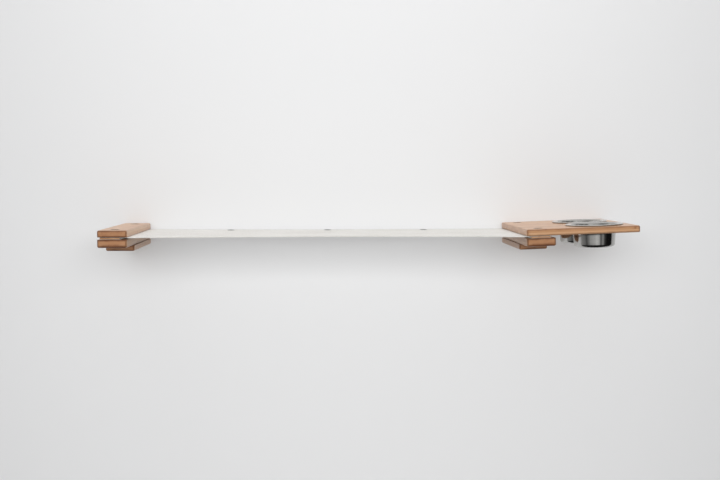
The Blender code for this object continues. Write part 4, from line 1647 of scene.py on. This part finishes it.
@dataclass
class CanvasShelf:
    """The stretched canvas, the folds along its edges, its stitches and its eyelets."""

    finishes: Finishes
    left: Bracket
    right: Bracket
    thickness: float = 0.0006
    edge_bow: float = 0.0215
    seam_reach: float = 0.007
    sewn: float = 0.002
    turn_steps: int = 8
    layer_gap: float = 0.0001
    fold_width: float = 0.012
    stitch_inset: float = 0.0085
    stitch_margin: float = 0.003
    stitch_pitch: float = 0.0036
    stitch_length: float = 0.0027
    stitch_radius: float = 0.00032
    stitch_wander: float = 0.05
    stitch_seed: int = 7
    tension_fold: float = 0.0005
    tension_reach: float = 0.16
    tension_start: float = 0.02
    span_stations: int = 150
    across_stations: int = 48
    eyelet_hole: float = 0.0036
    eyelet_flange: float = 0.0075
    eyelet_wall: float = 0.0005
    eyelet_dome: float = 0.0009
    eyelet_sides: int = 64

    def __post_init__(self) -> None:
        """Reads the canvas's own places from the frame."""
        low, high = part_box("canvas_shelf")
        self.front = low.y
        self.back = high.y
        eyelet_low, eyelet_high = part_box("canvas_eyelet_1")
        self.level = (eyelet_low.z + eyelet_high.z) / 2
        self.start = self.left.box("support_plate")[1].x
        self.last = self.right.placement.matrix @ Vector((-self.start, 0.0, self.level))
        self.end = self.last.x

    def bow(self, x: float) -> float:
        """Works out how far an edge is drawn in.

        Args:
            x: The place along the wall.

        Returns:
            The distance from the edge's straight line.
        """
        share = (2 * x - self.start - self.end) / (self.end - self.start)
        return self.edge_bow * max(0.0, 1.0 - share * share)

    def hem_path(self, bracket: Bracket) -> list[Vector]:
        """Lists the cloth's middle line round one batten, from its sewn end to the free span.

        Args:
            bracket: The bracket that clamps the hem.

        Returns:
            The points in the shared frame, with y at 0.
        """
        low, high = bracket.box("hem_batten")
        outward = bracket.side.value
        outer = high.x if outward > 0 else low.x
        inner = low.x if outward > 0 else high.x
        level = (low.z + high.z) / 2
        offset = (high.z - low.z) / 2 + FIT + self.thickness / 2
        seam = inner - outward * self.seam_reach
        points = [Vector((seam, 0.0, level + offset - self.thickness - self.layer_gap)),
                  Vector((seam + outward * self.sewn, 0.0,
                          level + offset - self.thickness - self.layer_gap))]
        points += [Vector((inner, 0.0, level - offset)), Vector((outer, 0.0, level - offset))]
        for i in range(1, self.turn_steps):
            angle = math.pi * i / self.turn_steps
            points.append(Vector((outer + outward * offset * math.sin(angle), 0.0,
                                  level - offset * math.cos(angle))))
        points += [Vector((x, 0.0, level + offset)) for x in (outer, inner, seam)]
        return [bracket.placement.matrix @ point for point in points]

    def span(self) -> list[Vector]:
        """Lists the middle line of the free cloth between the clamps.

        Returns:
            The points from left to right.
        """
        first = Vector((self.start, 0.0, self.level))
        return [first.lerp(self.last, i / self.span_stations)
                for i in range(self.span_stations + 1)]

    def line(self) -> list[Vector]:
        """Lists the cloth's middle line from its left end to its right end."""
        return [*self.hem_path(self.left), *self.span(), *self.hem_path(self.right)[::-1]]

    def ripple(self, x: float, y: float) -> float:
        """Works out the slight folds that the pull leaves near the clamps.

        Args:
            x: The place along the wall.
            y: The place from the wall.

        Returns:
            The height above the cloth's middle plane.
        """
        from_end = min(x - self.start, self.end - x)
        if from_end <= 0.0:
            return 0.0
        fade = math.exp(-from_end / self.tension_reach) * (
            1 - math.exp(-from_end / self.tension_start))
        across = (y - self.front) / (self.back - self.front)
        broad = math.sin(across * 31.0 + 2.1 * math.sin(x * 5.0))
        fine = 0.6 * math.sin(across * 53.0 + 1.7)
        return self.tension_fold * fade * (broad + fine) * math.sin(math.pi * across)

    def spread(self, shape: BMesh, line: list[Vector], width: float | None = None,
               drop: float = 0.0) -> None:
        """Lays a unit grid along the cloth's line.

        Args:
            shape: A grid whose x and y run from -1 to 1.
            line: The stations along x.
            width: Its width from the front edge, or None for the whole cloth.
            drop: How far it lies below the cloth's middle.
        """
        cloth = shape.loops.layers.uv.new("cloth")
        lengths = [0.0]
        for before, after in zip(line, line[1:]):
            lengths.append(lengths[-1] + (after - before).length)
        places = {}
        for vert in shape.verts:
            station = round((vert.co.x + 1) / 2 * (len(line) - 1))
            share = (vert.co.y + 1) / 2
            point = line[station]
            bow = self.bow(point.x)
            low = self.front + bow
            high = self.back - bow if width is None else low + width
            y = low + (high - low) * share
            places[vert] = (lengths[station], y)
            vert.co = Vector((point.x, y, point.z - drop + self.ripple(point.x, y)))
        for face in shape.faces:
            for loop in face.loops:
                loop[cloth].uv = places[loop.vert]

    def eyelet_places(self) -> list[tuple[int, Vector]]:
        """Reads where the eyelets are.

        Returns:
            Each eyelet's number and middle.
        """
        places = []
        for number in (1, 2, 3):
            low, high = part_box(f"canvas_eyelet_{number}")
            middle = (low + high) / 2
            places.append((number, Vector((middle.x, middle.y, self.level))))
        return places

    def build_cloth(self) -> Object:
        """Builds the canvas as one sheet with its two hem loops.

        Returns:
            The piece.
        """
        line = self.line()
        shape = bmesh.new()
        bmesh.ops.create_grid(shape, x_segments=len(line) - 1, y_segments=self.across_stations,
                              size=1.0)
        self.spread(shape, line)
        bmesh.ops.recalc_face_normals(shape, faces=shape.faces)
        cloth = finish_piece("canvas_finished", shape, self.finishes.canvas,
                             Holding("canvas", nodes=("canvas_shelf",)))
        thicken(cloth, self.thickness)
        return cloth

    def build_folds(self) -> list[Object]:
        """Builds the folds under the front and back edges.

        Returns:
            The two pieces.
        """
        pieces = []
        line = self.span()
        for name in ("front", "back"):
            shape = bmesh.new()
            bmesh.ops.create_grid(shape, x_segments=len(line) - 1, y_segments=4, size=1.0)
            self.spread(shape, line, self.fold_width, self.thickness + self.layer_gap)
            if name == "back":
                mirror = Matrix.Translation((0, self.front + self.back, 0)) @ Matrix.Scale(
                    -1, 4, (0, 1, 0))
                bmesh.ops.transform(shape, matrix=mirror, verts=shape.verts)
            bmesh.ops.recalc_face_normals(shape, faces=shape.faces)
            fold = finish_piece(f"canvas_{name}_fold", shape, self.finishes.canvas,
                                Holding("canvas"))
            thicken(fold, self.thickness)
            pieces.append(fold)
        return pieces

    def build_stitches(self) -> list[Object]:
        """Builds the two rows of stitches that hold the folds.

        Returns:
            The two pieces.
        """
        chance = random.Random(self.stitch_seed)
        pieces = []
        step = 0.001
        count = int((self.end - self.start - 2 * self.stitch_margin) / self.stitch_pitch)
        for name in ("front", "back"):
            shape = bmesh.new()
            for i in range(count):
                x = self.start + self.stitch_margin + (i + 0.5) * self.stitch_pitch
                bow = self.bow(x) + self.stitch_inset
                y = self.front + bow if name == "front" else self.back - bow
                slope = (self.bow(x + step) - self.bow(x - step)) / (2 * step)
                angle = math.atan(slope if name == "front" else -slope)
                angle += chance.uniform(-self.stitch_wander, self.stitch_wander)
                for z in (self.thickness / 2, -1.5 * self.thickness - self.layer_gap):
                    height = self.level + z + self.ripple(x, y)
                    place = Matrix.Translation((x, y, height)) @ Matrix.Rotation(angle, 4, "Z")
                    size = Matrix.Diagonal((self.stitch_length / 2, self.stitch_radius,
                                            self.stitch_radius * 0.8, 1.0))
                    matrix = place @ size @ Matrix.Rotation(math.pi / 2, 4, "Y")
                    bmesh.ops.create_uvsphere(shape, u_segments=6, v_segments=5, radius=1.0,
                                              matrix=matrix)
            pieces.append(finish_piece(f"canvas_{name}_stitches", shape, self.finishes.thread,
                                       Holding("canvas")))
        return pieces

    def eyelet_shape(self) -> BMesh:
        """Makes an eyelet: a barrel with a domed flange on top and a rolled end below.

        Returns:
            The shape.
        """
        surface = self.thickness / 2 + FIT
        height = self.eyelet_dome
        hole = self.eyelet_hole
        barrel = hole + self.eyelet_wall
        flange = self.eyelet_flange
        low = -surface - height
        profile = [(hole, low + 0.0002), (hole + 0.0002, low), (barrel, low), (barrel, surface),
                   (flange - 0.0002, surface), (flange, surface + 0.00015)]
        profile += [(flange - 0.0004, surface + height * 0.55),
                    (flange - 0.0011, surface + height * 0.85),
                    ((flange + hole) / 2, surface + height),
                    (hole + 0.0011, surface + height * 0.92),
                    (hole + 0.0005, surface + height * 0.68),
                    (hole + 0.0001, surface + height * 0.25), (hole, surface)]
        return turned(profile, self.eyelet_sides)

    def ring_shape(self) -> BMesh:
        """Makes the ring that backs an eyelet under the cloth.

        Returns:
            The shape.
        """
        surface = -self.thickness / 2 - FIT
        height = self.eyelet_dome
        bore = self.eyelet_hole + self.eyelet_wall + FIT
        flange = self.eyelet_flange
        profile = [(bore, surface), (flange - 0.0001, surface), (flange, surface - 0.0002),
                   (flange - 0.0006, surface - height * 0.9),
                   ((bore + flange) / 2, surface - height),
                   (bore + 0.0003, surface - height * 0.9), (bore, surface - height * 0.6)]
        return turned(profile, self.eyelet_sides)

    def build_eyelets(self) -> list[Object]:
        """Builds the eyelets and the rings behind them.

        Returns:
            The pieces.
        """
        pieces = []
        for number, place in self.eyelet_places():
            for kind, maker in (("eyelet", self.eyelet_shape), ("eyelet_ring", self.ring_shape)):
                node = f"canvas_{kind}_{number}"
                pieces.append(finish_piece(node + "_finished", moved(maker(), *place),
                                           self.finishes.nickel,
                                           Holding("eyelet_metal", nodes=(node,))))
        return pieces

    def build(self) -> None:
        cloth = self.build_cloth()
        others = [*self.build_folds(), *self.build_stitches(), *self.build_eyelets()]
        cut_eyelet_holes(cloth, [place for _, place in self.eyelet_places()],
                         self.eyelet_hole + self.eyelet_wall + FIT / 2)
        line = self.line()


def thicken(item: Object, thickness: float) -> None:
    """Gives a sheet its thickness, half on each side of its middle.

    Args:
        item: The sheet.
        thickness: Its thickness.
    """
    step = item.modifiers.new("cloth_thickness", "SOLIDIFY")
    step.thickness = thickness
    step.offset = 0.0
    step.use_even_offset = True


def cut_eyelet_holes(cloth: Object, places: Sequence[Vector], radius: float) -> None:
    """Opens the cloth under its eyelets, as holes in its faces.

    Args:
        cloth: The canvas.
        places: The eyelets' middles.
        radius: The holes' radius.
    """
    shape = bmesh.new()
    shape.from_mesh(cloth.data)
    sides = 16
    same_level = 0.001
    for place in places:
        near = [face for face in shape.faces
                if abs(face.calc_center_median().z - place.z) < same_level
                and (face.calc_center_median().xy - place.xy).length < 4 * radius]
        geometry = list({vert for face in near for vert in face.verts})
        geometry += list({edge for face in near for edge in face.edges}) + near
        for side in range(sides):
            angle = math.tau * side / sides
            normal = Vector((math.cos(angle), math.sin(angle), 0.0))
            geometry = [item for item in geometry if item.is_valid]
            point = place + normal * radius * math.cos(math.pi / sides)
            result = bmesh.ops.bisect_plane(shape, geom=geometry, dist=SAME_PLACE,
                                            plane_co=point, plane_no=normal)
            geometry = result["geom"]
        inside = [face for face in shape.faces
                  if abs(face.calc_center_median().z - place.z) < same_level
                  and (face.calc_center_median().xy - place.xy).length < radius * 0.99
                  and all((vert.co.xy - place.xy).length < radius * 1.01 for vert in face.verts)]
        bmesh.ops.delete(shape, geom=inside, context="FACES")
    shape.to_mesh(cloth.data)
    shape.free()
    cloth.data.shade_smooth()


# Bowls

@dataclass
class Bowl:
    """A pressed steel bowl that hangs in the board by its rolled rim."""

    name: str
    placement: Placement
    finishes: Finishes
    board_thickness: float
    rim_radius: float = 0.056
    bead_radius: float = 0.0013
    wall_top: float = 0.0418
    shoulder: float = 0.0037
    shoulder_rise: float = 0.0022
    draft: float = 0.0022
    height: float = 0.0459
    base_corner: float = 0.007
    neck_drop: float = 0.007
    neck_curve: float = 0.0025
    sheet: float = 0.0008
    punt: float = 0.001
    punt_radius: float = 0.016
    foot_radius: float = 0.024
    sides: int = 128

    def outer(self) -> tuple[Profile, int]:
        """Lists the outside of the bowl from the middle of its base to its rim.

        Returns:
            The points above the board's top, and how many come before the rim's bead.
        """
        bead = (self.rim_radius - self.bead_radius, FIT + self.bead_radius)
        bottom = FIT + 2 * self.bead_radius - self.height
        flange = FIT + 2 * self.bead_radius - self.sheet
        neck = self.wall_top + self.shoulder
        wall_low = self.wall_top - self.draft
        corner = self.base_corner
        points = [(0.0, bottom + self.punt), (self.punt_radius * 0.5, bottom + self.punt),
                  (self.punt_radius, bottom + self.punt * 0.9),
                  ((self.punt_radius + self.foot_radius) / 2, bottom + self.punt * 0.35),
                  (self.foot_radius, bottom), ((self.foot_radius + wall_low - corner) / 2, bottom)]
        points += arc((wall_low - corner, bottom + corner), corner, -90, -4, 14)
        under = -self.board_thickness
        first = points[-1]
        points += [(first[0] + (self.wall_top - first[0]) * share,
                    first[1] + (under - first[1]) * share) for share in (0.25, 0.5, 0.75)]
        points += [(self.wall_top, under),
                   (self.wall_top + self.shoulder * 0.25, under + self.shoulder_rise),
                   (self.wall_top + self.shoulder * 0.62, -self.neck_drop),
                   (self.wall_top + self.shoulder * 0.9, -self.neck_drop * 0.66),
                   (neck, -self.neck_drop / 2)]
        points += arc((neck + self.neck_curve, flange - self.neck_curve), self.neck_curve,
                      180, 95, 8)
        before_bead = len(points)
        points += arc(bead, self.bead_radius, -165, 90, 20)
        return points, before_bead

    def profile(self) -> Profile:
        """Lists the whole outline of the sheet metal.

        Returns:
            The points of the outside and then of the inside.
        """
        outside, before_bead = self.outer()
        inside: Profile = []
        for index in range(before_bead - 1, 0, -1):
            before = Vector(outside[index - 1])
            after = Vector(outside[index + 1]) if index < before_bead - 1 else before + (
                Vector(outside[index]) - before) * 2
            along = (after - before).normalized()
            point = Vector(outside[index]) + Vector((-along.y, along.x)) * self.sheet
            inside.append((max(point.x, 0.0), point.y))
        inside.append((0.0, outside[0][1] + self.sheet))
        return outside + inside

    def build(self) -> None:
        """Builds the bowl in place of its node."""
        low, high = self.placement.box(self.name)
        middle = (low + high) / 2
        top = high.z - FIT - 2 * self.bead_radius
        shape = moved(turned(self.profile(), self.sides), middle.x, middle.y, top)
        self.placement.put(shape)
        centre = self.placement.matrix @ Vector((middle.x, middle.y, top))
        steel = self.finishes.steel.material(self.name + "_steel", centre, ringed=True)
        finish_piece(self.name + "_finished", shape, steel,
                     Holding("bowl_steel", self.name, (self.name,)))


# Studio

@dataclass(frozen=True)
class Lamp:
    """A soft area lamp: its width and height, its place, where it points and its watts."""

    name: str
    size: tuple[float, float]
    place: tuple[float, float, float]
    target: tuple[float, float, float]
    power: float


@dataclass
class Studio:
    """The camera, the pale wall and floor, the soft light and the room that steel mirrors."""

    lens: float = 51.7
    camera_place: tuple[float, float, float] = (0.3905, -2.2309, 0.1438)
    camera_pitch: float = 3.86
    camera_turn: float = 2.22
    middle: float = 0.5
    wall_size: tuple[float, float] = (9.0, 6.0)
    wall_gap: float = 0.0006
    wall_middle: float = 2.1
    floor_size: tuple[float, float] = (9.0, 9.0)
    floor_level: float = -0.9
    wall_colour: Colour = (0.6, 0.602, 0.607, 1.0)
    wall_glow: float = 0.23
    wall_fade: float = 0.3
    half_view: float = 0.78
    floor_colour: Colour = (0.6, 0.6, 0.6, 1.0)
    room_light: float = 0.14
    wall_light: float = 0.86
    low_wall_light: float = 0.4
    level_band: tuple[float, float] = (-0.15, 0.15)
    wall_band: tuple[float, float] = (-0.12, 0.12)
    background: Colour = (0.93, 0.93, 0.93, 1.0)
    lamps: tuple[Lamp, ...] = (
        Lamp("key", (2.8, 0.94), (0.35, -3.0, 0.68), (0.4, 0.0, 0.0), 65.0),
        Lamp("overhead", (2.2, 1.0), (0.45, -0.35, 1.7), (0.45, -0.15, 0.0), 15.5))
    mirrored_above: float = 0.9
    above_band: tuple[float, float] = (0.2, 0.5)
    mirrored_below: float = 0.02
    below_band: tuple[float, float] = (-0.24, -0.46)
    mirrored_round: tuple[tuple[float, float], ...] = (
        (-180, 0.5), (-134, 0.52), (-114, 0.76), (-98, 0.58), (-84, 0.32), (-70, 0.26),
        (-58, 0.12), (-46, 0.29), (-35, 0.56), (-12, 0.68), (-1, 0.85), (11, 0.7), (22, 0.14),
        (34, 0.38), (46, 0.05), (60, 0.01), (96, 0.01), (116, 0.2), (133, 0.72), (180, 0.8))

    def build_camera(self) -> None:
        """Adds the camera at the photograph's place, angle and lens."""
        data = bpy.data.cameras.new("camera")
        data.lens = self.lens
        data.sensor_width = 36.0
        camera = bpy.data.objects.new("camera", data)
        camera.location = self.camera_place
        camera.rotation_euler = (math.radians(90 - self.camera_pitch), 0.0,
                                 math.radians(-self.camera_turn))
        bpy.context.scene.collection.objects.link(camera)
        bpy.context.scene.camera = camera

    def one_sided(self, name: str, colour: Colour, glow: float, fade: float) -> Material:
        """Builds a pale matt material that isn't seen from behind.

        Args:
            name: Its name.
            colour: Its colour.
            glow: How bright it is by itself in the middle of the picture.
            fade: The share of that glow lost half a picture's width away.

        Returns:
            The material.
        """
        material, sheet, shader = new_material(name)
        shader.inputs["Base Color"].default_value = colour
        shader.inputs["Roughness"].default_value = 1.0
        shader.inputs["Specular IOR Level"].default_value = 0.0
        x, _, _ = sheet.split(sheet.add("TexCoord").outputs["Object"])
        reach = sheet.math("POWER", sheet.math("DIVIDE", sheet.math("ABSOLUTE", x),
                                               self.half_view), 2.0)
        left = sheet.math("MAXIMUM", sheet.math("MULTIPLY_ADD", reach, -fade, 1.0),
                          1.0 - 1.5 * fade)
        sheet.feed(shader.inputs["Emission Color"], sheet.join(left, left, left))
        shader.inputs["Emission Strength"].default_value = glow
        geometry = sheet.add("NewGeometry")
        clear = sheet.add("BsdfTransparent")
        mixed = sheet.add("MixShader")
        sheet.feed(mixed.inputs[0], geometry.outputs["Backfacing"])
        sheet.feed(mixed.inputs[1], shader.outputs[0])
        sheet.feed(mixed.inputs[2], clear.outputs[0])
        sheet.feed(material.node_tree.nodes["Material Output"].inputs[0], mixed.outputs[0])
        return material

    def panel(self, name: str, size: tuple[float, float], place: Sequence[float],
              turn: Sequence[float], material: Material) -> Object:
        """Adds a flat stage panel.

        Args:
            name: Its name.
            size: Its width and height.
            place: Its middle.
            turn: Its turn, in radians; unturned it faces up.
            material: Its material.

        Returns:
            The panel.
        """
        shape = bmesh.new()
        bmesh.ops.create_grid(shape, x_segments=1, y_segments=1, size=0.5)
        bmesh.ops.scale(shape, vec=(size[0], size[1], 1.0), verts=shape.verts)
        item = scratch_object(shape, name)
        item.location = place
        item.rotation_euler = turn
        item.data.materials.append(material)
        return item

    def build_surfaces(self) -> None:
        """Adds the wall that the feeder hangs on and the floor far below it."""
        wall = self.panel("backdrop_wall", self.wall_size,
                          (self.middle, self.wall_gap, self.wall_middle),
                          (math.radians(90), 0.0, 0.0),
                          self.one_sided("backdrop_paint", self.wall_colour, self.wall_glow,
                                         self.wall_fade))
        wall.visible_shadow = False
        wall.visible_diffuse = False
        floor = self.panel("floor", self.floor_size,
                           (self.middle, -self.floor_size[1] / 2, self.floor_level),
                           (0.0, 0.0, 0.0),
                           self.one_sided("floor_paint", self.floor_colour, 0.0, 0.0))
        floor.visible_glossy = False

    def build_lamps(self) -> None:
        """Adds the soft area lamps, which are neither seen nor mirrored themselves."""
        for lamp in self.lamps:
            data = bpy.data.lights.new(lamp.name, "AREA")
            data.shape = "RECTANGLE"
            data.size, data.size_y = lamp.size
            data.energy = lamp.power
            item = bpy.data.objects.new(lamp.name, data)
            item.location = lamp.place
            aim = Vector(lamp.target) - Vector(lamp.place)
            item.rotation_euler = aim.to_track_quat("-Z", "Y").to_euler()
            item.visible_camera = False
            item.visible_glossy = False
            bpy.context.scene.collection.objects.link(item)

    def mirrored_room(self, sheet: NodeSheet, x: NodeSocket, y: NodeSocket,
                      z: NodeSocket) -> NodeSocket:
        """Works out what polished metal and lacquer mirror: pale wall, dim room and dark gaps.

        Args:
            sheet: The sheet of the world's nodes.
            x: The direction along the wall.
            y: The direction into the wall.
            z: The direction upwards.

        Returns:
            The brightness in that direction.
        """
        angle = sheet.math("ARCTAN2", x, sheet.math("MULTIPLY", y, -1.0))
        share = sheet.math("MULTIPLY_ADD", angle, 1 / math.tau, 0.5)
        round_room = sheet.ramp(share, [(degrees / 360 + 0.5, level)
                                        for degrees, level in self.mirrored_round])
        above = (self.mirrored_above,) * 3 + (1.0,)
        below = (self.mirrored_below,) * 3 + (1.0,)
        upper = sheet.mix(sheet.step(z, *self.above_band), round_room, above)
        return sheet.mix(sheet.step(z, *self.below_band), upper, below)

    def build_world(self) -> None:
        """Sets the soft light from all round and the background."""
        world = bpy.data.worlds.new("soft_room")
        bpy.context.scene.world = world
        world.use_nodes = True
        sheet = NodeSheet(world.node_tree)
        background = world.node_tree.nodes["Background"]
        coords = sheet.add("TexCoord")
        x, y, z = sheet.split(coords.outputs["Generated"])
        from_wall = sheet.step(z, *self.level_band, self.low_wall_light, self.wall_light)
        towards_wall = sheet.step(y, *self.wall_band)
        light = sheet.math("MULTIPLY_ADD", towards_wall, sheet.math(
            "SUBTRACT", from_wall, self.room_light), self.room_light)
        path = sheet.add("LightPath")
        shown = sheet.math("MAXIMUM", path.outputs["Is Camera Ray"],
                           path.outputs["Is Transmission Ray"])
        level = sheet.mix(path.outputs["Is Glossy Ray"], light,
                          self.mirrored_room(sheet, x, y, z))
        sheet.feed(background.inputs["Color"], sheet.mix(shown, level, self.background))
        background.inputs["Strength"].default_value = 1.0

    def build(self) -> None:
        """Builds the whole studio."""
        self.build_camera()
        self.build_surfaces()
        self.build_world()
        self.build_lamps()
        bpy.context.scene.view_settings.view_transform = "Standard"


def main() -> None:
    """Builds the studio and dresses every part of the feeder."""
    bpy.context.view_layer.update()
    Studio().build()
    finishes = make_finishes()
    shaper = BoardShaper()
    fasteners = Fasteners()
    left = ShelfBracket(Side.LEFT, placement_of(Side.LEFT), finishes, shaper, fasteners, 11.0)
    right = FeederBracket(Side.RIGHT, placement_of(Side.RIGHT), finishes, shaper, fasteners, 41.0)
    left.build()
    right.build()
    CanvasShelf(finishes, left, right).build()
    board = right.placement.box("feeder_board")
    for name in ("front_bowl", "rear_bowl"):
        Bowl(name, right.placement, finishes, board[1].z - board[0].z).build()


if __name__ == "__main__":
    main()
